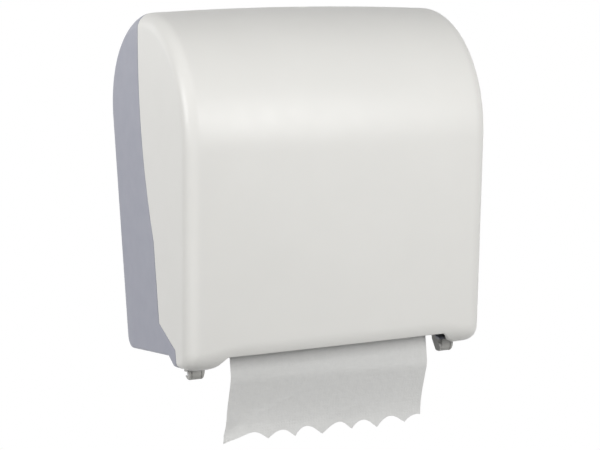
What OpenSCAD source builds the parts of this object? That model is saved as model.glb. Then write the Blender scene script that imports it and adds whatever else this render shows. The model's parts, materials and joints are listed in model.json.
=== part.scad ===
// Wall-hung roll towel dispenser with a cutting drum.
// Depths are measured from the wall, heights up from the lowest edge of the cover.
// X runs along the wall, -Y towards the user and +Z up; the origin is the centre of the wall screws.

/* [Body] */
// Width of the housing at the wall
body_w = 331; // [326:1:345]
// Depth from the wall to the fullest point of the front
body_d = 221; // [218:1:230]
// Height of the arch at the middle of the width
body_h = 361; // [356:1:375]
// Radius of the arch behind its top
arch_rear_r = 100; // [92:1:104]
// Radius of the arch in front of its top
arch_front_r = 125; // [118:1:128]
// Lean of the front back towards the wall, in degrees
front_lean = 11; // [9:0.5:12]
// Radius of the front's lower edge
front_low_r = 25; // [22:1:27]
// Rounding of the side edges
edge_r = 15; // [11:1:18]
// Bow of the front and the top across the width
crown = 3.5; // [2.5:0.5:5]
// Angle above the wall over which the side rounding grows to its full radius, in degrees
edge_fade = 95; // [80:5:110]
// Draft of each side from the wall to the front, in degrees
side_draft = 0.8; // [0.2:0.1:1]
// Wall thickness of the moulded shells
wall = 3; // [2.4:0.1:3.4]

/* [Parting line] */
// Gap between the housing and the cover along the parting line
parting_gap = 0.8; // [0.6:0.1:1.2]
// Depth of the parting line where it lies nearest the wall
parting_depth = 86.5; // [82:0.5:90]
// Height of that nearest point
parting_z = 245; // [235:1:255]
// Radius of the long bow of the parting line
parting_r = 440; // [400:5:480]
// Height where the bow changes to an upright line
parting_straight_z = 129; // [120:1:140]
// Height where the line turns forward over the toes
parting_turn_z = 47; // [42:1:52]

/* [Underside and slot] */
// Height of the housing's underside
floor_z = 15.5; // [14:0.5:17]
// Radius of the housing's lower rear edge
rear_low_r = 8; // [6:0.5:10]
// Depth at which the floor stops to let the towel through
floor_depth = 123; // [118:1:125]
// Depth of the toes' shoulder
shoulder_depth = 143; // [141:0.5:145]
// Height of the toes' shoulder
shoulder_z = 18; // [16:0.5:20]
// Depth of the tips of the toes
toe_depth = 150.5; // [149:0.5:152]
// Height of the underside of the toes
toe_z = 3.8; // [3:0.1:4.5]
// Distance from the towel's edge to the toes
toe_gap = 20.5; // [18:0.5:23]
// Height of the raised slot edge over the towel
slot_z = 13.3; // [11:0.1:15]
// Reach of the raised slot edge beyond the towel at each end
slot_over = 10; // [7:0.5:12]
// Run of the ramp at each end of the raised edge
slot_ramp = 28; // [22:1:30]

/* [Wall screws] */
// Spacing of the wall screws along the wall
screw_span_x = 280; // [270:1:288]
// Spacing of the wall screws in height
screw_span_z = 200; // [190:1:210]
// Height of the lower wall screws
screw_low_z = 36; // [35:0.5:38]
// Radius of the wall screw holes
screw_hole_r = 2.75; // [2:0.05:3]
// Radius of the pads around the wall screw holes
screw_pad_r = 8; // [6:0.5:9]
// Height of those pads
screw_pad_t = 2; // [1:0.5:3]

/* [Hinge] */
// Depth of the hinge axis
hinge_depth = 132; // [131:0.5:133]
// Height of the hinge axis below the cover's lowest edge
hinge_drop = 3; // [2.5:0.1:3.5]
// Radius of the hooks round the hinge pins
hook_r = 6.5; // [5.5:0.1:6.8]
// Width of each hook along the axis
hook_w = 19.5; // [18.5:0.5:21]
// Width of each hook at its foot
hook_foot_w = 13; // [12:0.5:15]
// Radius of the lower corners of a hook
hook_corner_r = 2; // [1:0.1:3]
// Thickness of the two fins of a hook at its root
fin_t = 4.5; // [4:0.1:5]
// Width of the neck that hangs the hook from its toe
neck_w = 10; // [8:0.5:11]
// Opening of the hook towards the wall
hook_mouth = 4.2; // [3:0.1:4.4]
// Radius of the hinge pins
hinge_pin_r = 2.5; // [2.4:0.1:3]
// Distance from the sides of a hook to the ends of its pin
pin_inset = 2.5; // [2.5:0.1:3]
// Width of the cover's hinge arms, between the fins
hinge_arm_t = 9; // [6:0.5:9.5]
// Radius of the eye of a hinge arm
arm_eye_r = 4.8; // [4.5:0.1:5]
// Half of the thickness of a hinge arm under the toe
arm_knee_r = 2.4; // [2:0.1:2.6]
// Gap between a hinge arm and the toe above it
arm_toe_gap = 0.8; // [0.5:0.1:1]

/* [Lock] */
// Distance of the lock on the cover's top from the front
lock_front = 100; // [97:1:102]
// Radius of the lock barrel
lock_r = 8; // [7:0.5:9]
// Radius of the barrel's head
lock_head_r = 10.5; // [10:0.5:12]
// Thickness of the head
lock_head_t = 2; // [1.5:0.1:2.5]
// Length of the barrel below its head
lock_len = 11; // [10:0.5:12]
// Reach of the locking tongue from the barrel's axis
tongue_reach = 24; // [22:0.5:25]
// Width of the tongue
tongue_w = 8; // [6:0.5:9]
// Thickness of the tongue
tongue_t = 2.5; // [2:0.1:3]
// Shank radius of the tongue's screw
tongue_screw_r = 2; // [1.5:0.1:2.2]
// Head radius of the tongue's screw
tongue_screw_head_r = 3.6; // [3:0.1:4]
// Height of that head
tongue_screw_head_h = 1.8; // [1.2:0.1:2]
// Radius of the two key holes in the barrel's head
key_hole_r = 1.5; // [1:0.1:2]
// Width of the strike and its arm
strike_w = 10; // [8:0.5:11]
// Thickness of the strike
strike_t = 2.5; // [2:0.1:3]
// Length of the strike's foot
strike_foot = 20; // [16:1:22]

/* [Towel] */
// Width of the towel
towel_w = 220; // [200:1:221]
// Thickness of the towel sheet, drawn thick
towel_t = 0.4; // [0.3:0.05:0.5]
// Gap between a full roll and the fullest point of the front
roll_front_gap = 16; // [13:1:50]
// Gap between a full roll and the wall
roll_rear_gap = 15; // [12:0.5:17]
// Height of the roll arms' hubs
roll_z = 244; // [240:1:246]
// Bore of the cardboard core
core_dia = 40; // [38:0.5:44]
// Wall of the cardboard core
core_t = 2; // [1.5:0.1:3]
// Length of towel that hangs below the cover's lowest edge
tail_len = 79; // [60:1:84]
// Reach of the tail's curl back towards the wall
tail_curl = 24; // [10:1:26]
// Spacing of the scallops along the blade and the torn edge
scallop_pitch = 30.8; // [24:0.2:34]
// Depth of the scallops
scallop_rise = 8.5; // [5:0.5:10]
// Shift of the scallops along the towel
scallop_shift = 2.8; // [0:0.2:6]

/* [Roll arms] */
// Thickness of the roll arms
roll_arm_t = 4; // [3:0.5:5]
// Radius of a roll arm round its hub
roll_arm_r = 20; // [17:0.5:22]
// Height of a roll arm at its pivot
roll_arm_root = 36; // [30:1:40]
// Depth of the roll arms' pivot pins
arm_pivot_depth = 14; // [13:0.5:16]
// Radius of the knuckles and ears on those pins
knuckle_r = 5; // [4.5:0.1:5.5]
// Thickness of the ears on the housing
ear_t = 6; // [5:0.5:8]
// Radius of the arm pins
arm_pin_r = 2.5; // [2:0.1:3]
// Radius of the hub plug where it enters the core
hub_r = 18.5; // [17.5:0.1:18.7]
// Radius of the hub plug at its tip
hub_tip_r = 15; // [12:0.5:16]
// Length of the hub plug
hub_len = 14; // [10:0.5:15]
// Thickness of the hub's flange
hub_flange_t = 2; // [1.5:0.1:2.5]
// Radius of the stud that fixes a hub to its arm
hub_stud_r = 5; // [4:0.5:6]
// Half width of the slot that lightens a roll arm
arm_slot_r = 8; // [6:0.5:9]
// Length of that slot between the centres of its ends
arm_slot_len = 31; // [20:1:34]
// Distance from the hub to the slot's near end
arm_slot_near = 37; // [34:1:40]

/* [Chassis] */
// Gap between the drum's ends and the side plates
plate_gap = 5.5; // [5:0.5:7]
// Thickness of the side plates
plate_t = 4; // [3:0.5:4.5]
// Standoff of the side plates from the inside of the back wall
boss_h = 6; // [5:0.5:8]
// Radius of the bosses under the plates' feet
boss_r = 5; // [4:0.5:6]
// Rounding of the side plates' corners at the wall
plate_corner_r = 6; // [4:0.5:7]
// Rounding of the side plates' front corners
plate_nose_r = 14; // [12:0.5:15]
// Height of the side plates' lower corner at the wall above the floor
plate_lift = 13.5; // [12:0.5:16]
// Width of the feet of the side plates
foot_w = 14; // [12:0.5:16]
// Thickness of the feet
foot_t = 4; // [3:0.5:5]
// Height of the lower screw of each foot
foot_low_z = 52; // [50:1:56]
// Height of the upper screw of each foot
foot_high_z = 102; // [96:1:104]
// Shank radius of the case screws
case_screw_r = 1.8; // [1.5:0.1:2]
// Head radius of the case screws
case_screw_head_r = 3.8; // [3:0.1:4.5]
// Height of the case screws' heads
case_screw_head_h = 2.2; // [1.5:0.1:2.5]
// Radius of the tie rod between the plates
tie_r = 5; // [4:0.5:6]
// Radius of the tie rod's ends in the plates
tie_end_r = 3; // [2.5:0.1:3.5]
// Gap between the drum and the guard in front of it
guard_gap = 12; // [10.5:0.5:13]
// Thickness of the guard
guard_t = 2.5; // [2:0.1:3]
// Angle round the drum at which the guard begins, at the top, in degrees
guard_start = 140; // [135:1:145]
// Angle round the drum at which the guard ends, over the slot, in degrees
guard_end = 205; // [200:1:208]
// Radius of the guard's end studs
guard_stud_r = 1; // [0.8:0.1:1.1]

/* [Drum] */
// Radius of the cutting drum over its grip strips
drum_r = 36; // [35:0.5:37]
// Height of the drum's axis
drum_z = 64; // [63:0.5:66]
// Depth at which the towel leaves the drum
exit_depth = 145; // [144:0.5:147]
// Wall of the drum shells
drum_t = 3; // [2.5:0.1:3.2]
// Reach of the drum beyond the towel at each end
drum_over = 2.5; // [1.5:0.5:3]
// Radius of the drum shaft
shaft_r = 5; // [4:0.5:6]
// Reach of the blade slot on the side of the blade's pivot, in degrees
slot_near = 19; // [18:1:22]
// Reach of the blade slot on the other side, in degrees
slot_far = 27; // [26:1:30]
// Number of grip strips along the drum
grip_count = 4; // [2:1:5]
// Width of a grip strip
grip_w = 14; // [8:1:18]
// Height of a grip strip above the shell
grip_rise = 0.5; // [0.3:0.1:0.8]
// Radius of the pillars that join the drum halves
pillar_r = 4; // [3.5:0.1:4.2]
// Spacing of those pillars
pillar_pitch = 74; // [60:1:80]
// Shank radius of the drum screws and the blade rivets
drum_screw_r = 1.5; // [1.2:0.1:1.8]
// Head radius of the drum screws
drum_screw_head_r = 3; // [2.2:0.1:3.2]
// Height of the drum screws' heads
drum_screw_head_h = 2; // [1.2:0.1:2.4]
// Radius of the bushes' outside
bush_r = 9; // [8:0.5:10]
// Radius of the bushes' flanges
bush_flange_r = 12; // [11:0.5:13]
// Thickness of the bushes' flanges
bush_flange_t = 1.5; // [1:0.1:2]

/* [Blade] */
// Distance of the blade pivot from the drum's axis
blade_pivot_r = 26.5; // [26:0.1:27]
// Distance from the blade pivot to the blade
blade_lever = 34.7; // [34:0.1:35]
// Swing of the blade out of the drum, in degrees
blade_throw = 28; // [24:1:28]
// Thickness of the blade
blade_t = 0.8; // [0.6:0.1:1]
// Width of the blade strip from its points to its back
blade_w = 16; // [14:0.5:17]
// Thickness of the carrier's seat under the blade
seat_t = 4.5; // [4:0.1:5]
// Spacing of the rivets that hold the blade
rivet_pitch = 47; // [40:1:50]
// Head radius of those rivets
rivet_head_r = 2.6; // [2:0.1:3]
// Height of those heads
rivet_head_h = 1; // [0.6:0.1:1.2]
// Radius of the carrier round its pivot
carrier_r = 4.5; // [4:0.1:4.6]
// Radius of the blade pivots
blade_pin_r = 2.5; // [2:0.1:2.8]
// Reach of the follower arm from the blade pivot
follower_reach = 7.5; // [6.5:0.1:8]
// Radius of the follower's tip
follower_r = 2.2; // [1.8:0.1:2.4]
// Radius of the fixed kick pin
kick_pin_r = 2.3; // [1.8:0.1:2.5]

/* [Feed knob, ratchet and pawl] */
// Radius of the feed knob
knob_r = 24; // [20:0.5:26]
// Gap between the feed knob's end and the inside of the side
knob_room = 14; // [10:0.5:18]
// Number of finger grooves round the knob
knob_grooves = 12; // [8:1:16]
// Radius of those grooves
knob_groove_r = 4; // [3:0.5:5]
// Depth of the dish in the knob's end
knob_dish = 3; // [1:0.5:3.5]
// Radius of the ratchet wheel's tips
ratchet_r = 20; // [18:0.5:21]
// Depth of the ratchet teeth
ratchet_tooth = 3; // [2.5:0.1:3.5]
// Thickness of the ratchet wheel and the pawl
ratchet_t = 4; // [3:0.5:5]
// Number of ratchet teeth
ratchet_teeth = 24; // [12:12:24]
// Distance of the pawl's pivot behind the drum's axis
pawl_back = 34; // [33:0.5:36]
// Height of the pawl's pivot above the drum's axis
pawl_up = 6; // [5:0.5:7]
// Lift of the pawl where it rides over the teeth, in degrees
pawl_ride = 5.5; // [5.2:0.1:6.5]
// Radius of the pawl round its pivot
pawl_r = 5; // [4.5:0.1:5.5]
// Radius of the pawl's pin
pawl_pin_r = 2.5; // [2:0.1:3]

/* [Crank and return spring] */
// Radius of the crank disc
crank_r = 26; // [25:0.5:27]
// Thickness of the crank disc
crank_t = 5; // [4:0.5:6]
// Throw of the crank pin
crank_throw = 20; // [18:0.5:21]
// Distance of the crank disc's three holes from its axis
crank_hole_at = 16; // [14:0.5:17]
// Radius of those holes
crank_hole_r = 5; // [4:0.5:6]
// Radius of the crank pin and the spring post
crank_pin_r = 3; // [2.5:0.1:3.2]
// Depth of the spring post
post_depth = 40; // [36:1:44]
// Height of the spring post
post_z = 108; // [104:1:112]
// Mean radius of the spring's coils
coil_r = 4; // [3.9:0.1:4.4]
// Wire diameter of the spring
wire_d = 1.2; // [0.8:0.1:1.3]
// Number of coils
coil_count = 18; // [12:1:20]

/* [Pinch roller] */
// Radius of the pinch sleeves
pinch_r = 12; // [10:0.5:13]
// Radius of the pinch shaft
pinch_shaft_r = 4; // [3:0.5:5]
// Number of pinch sleeves
sleeve_count = 4; // [2:1:5]
// Length of a pinch sleeve
sleeve_len = 36; // [24:1:40]
// Distance from the pinch carrier's pivot to the roller
pinch_lever = 49; // [45:0.5:52]
// Thickness of the pinch carrier's arms
pinch_arm_t = 3; // [2.5:0.1:3.2]
// Width of the bridge between the pinch carrier's arms
bridge_w = 14; // [10:0.5:16]
// Radius of the pinch carrier's pivot rod
pinch_rod_r = 3; // [2.5:0.1:3.5]

/* [Fits] */
// Radial clearance of a pin or shaft that turns in its hole
run_fit = 0.05; // [0.02:0.01:0.08]
// Radial clearance of a pin that is held in its hole
hold_fit = 0.02; // [0.01:0.01:0.04]
// Gap between faces that pass each other
pass_gap = 0.5; // [0.3:0.1:0.6]
// Gap between the towel and what it runs over
towel_gap = 0.2; // [0.15:0.05:0.3]

/* [Hidden] */
$fn = 48;

PEARL = "#eeefe9";
LILAC = "#b0b1b8";
CHASSIS_GREY = "#6f7276";
STEEL = "#c3c5c8";
SPRING_STEEL = "#8b8d90";
RUBBER = "#2b2b2c";
ACETAL = "#f2f1ea";
KNOB_GREEN = "#4f8a5b";
PAPER = "#e2e2e0";
CARDBOARD = "#b08d63";

eps = 0.01;
beyond = 60;
half_w = body_w / 2;
mount_z = screw_low_z + screw_span_z / 2;

// Centres of the arcs of the side view, as [depth counted negative, height]
rear_arch = [-arch_rear_r, body_h - arch_rear_r];
front_arch = [-(body_d - arch_front_r), body_h - arch_front_r];
lean_normal = [-cos(front_lean), -sin(front_lean)];
lean_down = [sin(front_lean), -cos(front_lean)];
front_run = front_arch + (arch_front_r - front_low_r) * lean_normal;
front_low = front_run + lean_down * (front_run[1] - front_low_r) / cos(front_lean);
rear_low = [-rear_low_r, floor_z + rear_low_r];

toe_x = towel_w / 2 + toe_gap;
slot_half_w = towel_w / 2 + slot_over;
slot_foot_z = crown * pow((slot_half_w + slot_ramp) / (half_w - edge_r), 2);
drum_half = towel_w / 2 + drum_over;
plate_x = drum_half + plate_gap;
roll_dia = body_d - roll_front_gap - roll_rear_gap;
roll_depth = roll_rear_gap + roll_dia / 2;

hinge = [-hinge_depth, -hinge_drop];
drum = [-(exit_depth - drum_r), drum_z];
shell_r = drum_r - grip_rise;
nip = towel_t + 2 * towel_gap;
pinch = drum + [0, drum_r + nip + pinch_r];
pinch_pivot = pinch + [pinch_lever, 3];
roll_drop = core_dia / 2 - hub_r - towel_gap;
roll = [-roll_depth, roll_z - roll_drop];
hub = [-roll_depth, roll_z];

plate_out = plate_x + plate_t;
plate_back = wall + boss_h;
bush_out = plate_out + bush_flange_t;
crank_x = bush_out + pass_gap;
spring_x = crank_x + crank_t + coil_r + wire_d / 2 + pass_gap;
pin_end = spring_x + coil_r + 1;
ratchet_x = bush_out + pass_gap;
knob_x = ratchet_x + ratchet_t + pass_gap;
knob_w = half_w - wall - knob_room - knob_x;
hub_face = towel_w / 2 + pass_gap;
roll_arm_x = hub_face + hub_flange_t;
arm_pin_x = roll_arm_x + knuckle_r;
ear_w = 2 * knuckle_r - 1.2;
post = [-post_depth, post_z];
crank_dir = unit(post - drum);
crank_a = atan2(crank_dir[1], crank_dir[0]);
crank_pin = from_drum(crank_throw, crank_a);

// Blade slot of the drum at rest points down towards the wall
slot_a = -45;
pivot_a = -60;
lever_a = 57;
cut_a = 120;
swung_follower = blade_pivot_r * [1, 0] + follower_reach * [cos(blade_throw), sin(blade_throw)];
kick = from_drum(norm(swung_follower) + follower_r + kick_pin_r + run_fit, cut_a);

ratchet_pitch = 360 / ratchet_teeth;
pawl_reach = [pawl_back, pawl_up];
pawl_pivot = drum + pawl_reach;
pawl_tip_r = ratchet_r - ratchet_tooth + 0.8;
tooth_room_a = 2;
pawl_a = atan2(pawl_up, pawl_back) + acos(pawl_tip_r / norm(pawl_reach)) + tooth_room_a;

lock_depth = body_d - lock_front;
lock_drop_a = asin((lock_depth + front_arch[0]) / arch_front_r);
lock_face = front_arch + arch_front_r * [-sin(lock_drop_a), cos(lock_drop_a)];
lock_boss_r = lock_head_r + 1.5;
strike_x = lock_boss_r + 2;
tongue_turn = lock_face + (lock_len + lock_head_t) * [sin(lock_drop_a), -cos(lock_drop_a)];
tongue_rise = sqrt(pow(tongue_reach, 2) - pow(strike_x, 2)) * tan(lock_drop_a);
strike_seat_z = tongue_turn[1] + tongue_rise + pass_gap + strike_t;
strike_screw_len = body_h - wall - strike_seat_z + strike_t - 1;

foot_screw_x = plate_out + foot_w / 2;
foot_screw_zs = [foot_low_z, foot_high_z];
foot_margin = 12;
scallop_r = (pow(scallop_pitch / 2, 2) + pow(scallop_rise, 2)) / (2 * scallop_rise);
scallop_side = ceil(towel_w / 2 / scallop_pitch);
scallop_xs = [for (i = [-scallop_side:scallop_side]) scallop_shift + i * scallop_pitch];
pin_head = 1.4;

// Places a side view drawn as [y, z] from x0 to x1
module across(x0, x1) translate([x0, 0, 0]) rotate([90, 0, 90]) linear_extrude(x1 - x0) children();

module rod(x0, x1, centre, r)
    translate([x0, centre[0], centre[1]]) rotate([0, 90, 0]) cylinder(r = r, h = x1 - x0);

module in_frame() translate([0, 0, -mount_z]) children();

module both_sides() {
    children();
    mirror([1, 0, 0]) children();
}

module left_side() mirror([1, 0, 0]) children();

function arc(centre, r, a0, a1, steps) =
    [for (i = [0:steps]) let (a = a0 + (a1 - a0) * i / steps) centre + r * [cos(a), sin(a)]];

function unit(v) = v / norm(v);

function from_drum(r, a) = drum + r * [cos(a), sin(a)];

// Share of the side rounding at an angle above the wall
function fade(a) = let (t = min(a / edge_fade, 1)) t * t * (3 - 2 * t);

function arch(centre, r, a0, a1, steps, inset) =
    [for (i = [0:steps]) let (a = a0 + (a1 - a0) * i / steps)
        centre + (r - inset * fade(a)) * [cos(a), sin(a)]];

// Side view of the whole body, drawn in by skin all round and by inset where the edges round off
function side_view(skin, inset) = concat(
    arch(rear_arch, arch_rear_r - skin, 0, 90, 10, inset),
    arch(front_arch, arch_front_r - skin, 90, 180 + front_lean, 12, inset),
    arc(front_low, front_low_r - skin - inset, 180 + front_lean, 270, 6),
    arc(rear_low, max(rear_low_r - skin, 1), 270, 360, 3)
);

// Sections from the middle to one side, as [x, inset]
function sections(skin) = let (r = edge_r - skin, flat = half_w - skin - r) concat(
    [for (t = [0, 0.4, 0.75]) [t * flat, crown * t * t]],
    [for (a = [0:22.5:90]) [flat + r * sin(a), crown + r * (1 - cos(a))]]
);

module body_form(skin) hull() for (s = sections(skin), side = [-1, 1])
    translate([side * s[0], 0, 0]) rotate([0, 0, -side * side_draft]) across(-eps, eps)
        polygon(side_view(skin, s[1]));

// Parting line from above the top down to the toes
function parting(shift) = concat(
    [for (i = [0:14]) let (z = body_h + 20 + (parting_straight_z - body_h - 20) * i / 14)
        [shift - parting_depth - parting_r + sqrt(pow(parting_r, 2) - pow(z - parting_z, 2)), z]],
    [[shift - parting_depth - parting_r
        + sqrt(pow(parting_r, 2) - pow(parting_straight_z - parting_z, 2)), parting_turn_z],
     [shift - shoulder_depth, shoulder_z], [shift - toe_depth, toe_z + 1.5]]
);

function housing_outline() = concat(
    parting(parting_gap / 2),
    [[parting_gap / 2 - toe_depth, toe_z], [-hinge_depth - hook_r, toe_z + 1],
     [-floor_depth, floor_z], [beyond, floor_z], [beyond, body_h + 20]]
);

function housing_cavity() = [
    [-body_d - beyond, body_h], [-body_d - beyond, toe_z + wall],
    [-hinge_depth - hook_r, toe_z + 1 + wall],
    [-floor_depth, floor_z + wall], [beyond, floor_z + wall], [beyond, body_h]
];

function cover_outline() = concat(
    parting(-parting_gap / 2),
    [[-parting_gap / 2 - toe_depth, -beyond], [-body_d - beyond, -beyond], [-body_d - beyond, body_h + 20]]
);

module hook_view() difference() {
    union() {
        translate(hinge) circle(r = hook_r);
        translate([-hinge_depth - neck_w / 2, -hinge_drop]) square([neck_w, floor_z - 2 + hinge_drop]);
    }
    translate(hinge) circle(r = hinge_pin_r + run_fit);
    translate([-hinge_depth, -hinge_drop - hook_mouth / 2]) square([hook_r + 1, hook_mouth]);
}

// Front view of a hook: narrower at its foot, with round lower corners
function hook_front() = let (
    middle = toe_x + hook_w / 2, half_foot = hook_foot_w / 2 - hook_corner_r,
    foot_z = hinge[1] - hook_r + hook_corner_r
) concat(
    [[toe_x, floor_z], [toe_x, toe_z]],
    arc([middle - half_foot, foot_z], hook_corner_r, 195, 270, 4),
    arc([middle + half_foot, foot_z], hook_corner_r, 270, 345, 4),
    [[toe_x + hook_w, toe_z], [toe_x + hook_w, floor_z]]
);

module hook() intersection() {
    union() {
        for (x = [0, hook_w - fin_t])
            across(toe_x + x, toe_x + x + fin_t) hook_view();
        across(toe_x, toe_x + hook_w)
            translate([-hinge_depth - neck_w / 2, hinge_pin_r + 1]) square([wall, floor_z - 6]);
    }
    translate([0, -floor_depth, 0]) rotate([90, 0, 0]) linear_extrude(body_d) polygon(hook_front());
}

// Ears above and below each roll arm's knuckle
module arm_ears() for (z = [-1, 1])
    translate([arm_pin_x, 0, roll_z + z * (roll_arm_root / 2 + pass_gap + ear_t / 2)]) {
        translate([0, -arm_pivot_depth, 0]) cylinder(r = knuckle_r, h = ear_t, center = true);
        translate([-ear_w / 2, -arm_pivot_depth, -ear_t / 2])
            cube([ear_w, arm_pivot_depth - wall / 2, ear_t]);
    }

module foot_bosses() for (z = foot_screw_zs)
    translate([foot_screw_x, -wall / 2, z]) rotate([90, 0, 0])
        cylinder(r = boss_r, h = plate_back - wall / 2);

module screw_pads() for (z = [0, screw_span_z])
    translate([screw_span_x / 2, -wall / 2, screw_low_z + z]) rotate([90, 0, 0])
        cylinder(r = screw_pad_r, h = wall / 2 + screw_pad_t);

// Block under the housing's top that carries the strike, let into half of the wall
module strike_block() across(strike_x, strike_x + strike_w) polygon(concat(
    arc(rear_arch, arch_rear_r - wall / 2, strike_a(strike_back), strike_a(strike_front), 4),
    [[strike_front, strike_seat_z], [strike_back, strike_seat_z]]
));

function strike_a(y) = acos((y - rear_arch[0]) / (arch_rear_r - wall / 2));

module housing_holes() both_sides() {
    for (z = [0, screw_span_z])
        translate([screw_span_x / 2, beyond, screw_low_z + z]) rotate([90, 0, 0])
            cylinder(r = screw_hole_r, h = 2 * beyond);
    for (z = foot_screw_zs)
        translate([foot_screw_x, -wall, z]) rotate([90, 0, 0])
            cylinder(r = case_screw_r + hold_fit, h = beyond);
    at_arm_pin() cylinder(r = arm_pin_r + hold_fit, h = 2 * beyond, center = true);
}

module at_arm_pin() translate([arm_pin_x, -arm_pivot_depth, roll_z]) children();

module housing() color(LILAC) in_frame() difference() {
    union() {
        difference() {
            intersection() {
                body_form(0);
                across(-body_w, body_w) polygon(housing_outline());
            }
            intersection() {
                body_form(wall);
                across(-body_w, body_w) polygon(housing_cavity());
            }
            translate([-toe_x, -floor_depth - beyond, -beyond]) cube([2 * toe_x, beyond, 2 * beyond]);
        }
        both_sides() {
            hook();
            arm_ears();
            foot_bosses();
            screw_pads();
        }
        strike_block();
    }
    housing_holes();
    strike_hole();
}

module at_strike_screw(z) translate([strike_x + strike_w / 2, -parting_depth, z]) children();

module strike_hole() at_strike_screw(strike_seat_z - eps)
    cylinder(r = case_screw_r + hold_fit, h = strike_screw_len - strike_t);

// Strike: a foot under the housing's top, an arm below the cover and a leg in front of the tongue
strike_back = strike_foot / 2 - parting_depth;
strike_front = -strike_foot / 2 - parting_depth;
tongue_taper = (lock_r - tongue_w / 2) / (tongue_reach - tongue_w / 2);
tongue_half = (lock_r - strike_x * tongue_taper) / cos(asin(tongue_taper));
strike_leg_y = tongue_turn[0] - tongue_half - pass_gap - strike_t;
strike_leg_z = tongue_turn[1] - 2 * tongue_t;

module strike() color(STEEL) in_frame() difference() {
    across(strike_x, strike_x + strike_w) polygon([
        [strike_back, strike_seat_z], [strike_leg_y, strike_seat_z],
        [strike_leg_y, strike_leg_z], [strike_leg_y + strike_t, strike_leg_z],
        [strike_leg_y + strike_t, strike_seat_z - strike_t], [strike_back, strike_seat_z - strike_t]
    ]);
    at_strike_screw(strike_seat_z - strike_t - eps)
        cylinder(r = case_screw_r + hold_fit, h = 2 * strike_t);
}

module arm_pins() color(STEEL) in_frame() both_sides() at_arm_pin()
    cylinder(r = arm_pin_r, h = roll_arm_root + 2 * ear_t + 2 * pass_gap, center = true);

// Outline of a side plate round the drum, the pinch rod and the back edge
plate_edge = -plate_back - plate_corner_r;
plate_low_z = floor_z + wall + pass_gap;

module plate_view() hull() {
    translate([plate_edge, floor_z + plate_lift]) circle(r = plate_corner_r);
    translate([plate_edge, pinch_pivot[1] + plate_corner_r]) circle(r = plate_corner_r);
    translate(pinch_pivot) circle(r = 2 * plate_corner_r);
    for (a = guard_stud_as) translate(guard_stud(a) + [plate_nose_r / 2, 0]) circle(r = plate_nose_r);
    translate([drum[0], plate_low_z + plate_corner_r]) circle(r = plate_corner_r);
}

tie = [-plate_back - 4 * tie_r, floor_z + wall + 3 * tie_r];
guard_r = drum_r + guard_gap;
guard_stud_as = [guard_start + 6, guard_end - 6];

function guard_stud(a) = from_drum(guard_r + guard_t / 2, a);

module side_plate() difference() {
    union() {
        across(plate_x, plate_out) plate_view();
        translate([plate_x, -plate_back - foot_t, foot_low_z - foot_margin])
            cube([plate_t + foot_w, foot_t, foot_high_z - foot_low_z + 2 * foot_margin]);
    }
    rod(plate_x - 1, plate_out + 1, drum, bush_r + hold_fit);
    rod(plate_x - 1, plate_out + 1, pinch_pivot, pinch_rod_r + hold_fit);
    rod(plate_x - 1, plate_out + 1, tie, tie_end_r + hold_fit);
    for (a = guard_stud_as)
        rod(plate_x - 1, plate_out + 1, guard_stud(a), guard_stud_r + hold_fit);
    for (z = foot_screw_zs)
        translate([foot_screw_x, 0, z]) rotate([90, 0, 0])
            cylinder(r = case_screw_r + hold_fit, h = beyond);
}

module side_plate_left() color(CHASSIS_GREY) in_frame() left_side() {
    difference() {
        side_plate();
        rod(plate_x - 1, plate_out + 1, kick, kick_pin_r + hold_fit);
    }
    rod(plate_out - 1, pin_end, post, crank_pin_r);
}

module side_plate_right() color(CHASSIS_GREY) in_frame() difference() {
    side_plate();
    rod(plate_x - 1, plate_out + 1, pawl_pivot, pawl_pin_r + hold_fit);
}

module tie_rod() color(STEEL) in_frame() {
    rod(-plate_x, plate_x, tie, tie_r);
    rod(-plate_out, plate_out, tie, tie_end_r);
}

module case_screw(length) {
    cylinder(r = case_screw_r, h = length - pass_gap);
    translate([0, 0, -case_screw_head_h]) cylinder(r = case_screw_head_r, h = case_screw_head_h);
}

module case_screws() color(STEEL) in_frame() {
    both_sides() for (z = foot_screw_zs)
        translate([foot_screw_x, -plate_back - foot_t, z]) rotate([-90, 0, 0])
            case_screw(foot_t + boss_h);
    at_strike_screw(strike_seat_z - strike_t) case_screw(strike_screw_len);
}

module drum_bush() difference() {
    union() {
        rod(plate_x, plate_out + eps, drum, bush_r);
        rod(plate_out, bush_out, drum, bush_flange_r);
    }
    rod(plate_x - 1, bush_out + 1, drum, shaft_r + run_fit);
}

module drum_bush_left() color(ACETAL) in_frame() left_side() drum_bush();

module drum_bush_right() color(ACETAL) in_frame() drum_bush();

module kick_pin() color(STEEL) in_frame() left_side() {
    rod(drum_half + pass_gap, plate_out + eps, kick, kick_pin_r);
    rod(plate_out, plate_out + bush_flange_t, kick, kick_pin_r + pin_head);
}

module front_guard() color(CHASSIS_GREY) in_frame() {
    across(-plate_x, plate_x) polygon(concat(
        arc(drum, guard_r, guard_start, guard_end, 14),
        arc(drum, guard_r + guard_t, guard_end, guard_start, 14)
    ));
    for (a = guard_stud_as) rod(-plate_out, plate_out, guard_stud(a), guard_stud_r);
}

module pinch_pivot_rod() color(STEEL) in_frame() rod(-plate_out, plate_out, pinch_pivot, pinch_rod_r);

module pawl_pin() color(STEEL) in_frame() {
    rod(plate_x, ratchet_x + ratchet_t + pass_gap, pawl_pivot, pawl_pin_r);
    rod(ratchet_x + ratchet_t + pass_gap / 2, ratchet_x + ratchet_t + bush_flange_t, pawl_pivot,
        pawl_pin_r + pin_head);
}

// Towel: off the roll, under the pinch roller, over the drum and down through the slot
sheet_drum_r = drum_r + towel_gap + towel_t / 2;
sheet_pinch_r = pinch_r + towel_gap + towel_t / 2;
sheet_roll_r = roll_dia / 2 + towel_t / 2 + towel_gap;

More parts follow.
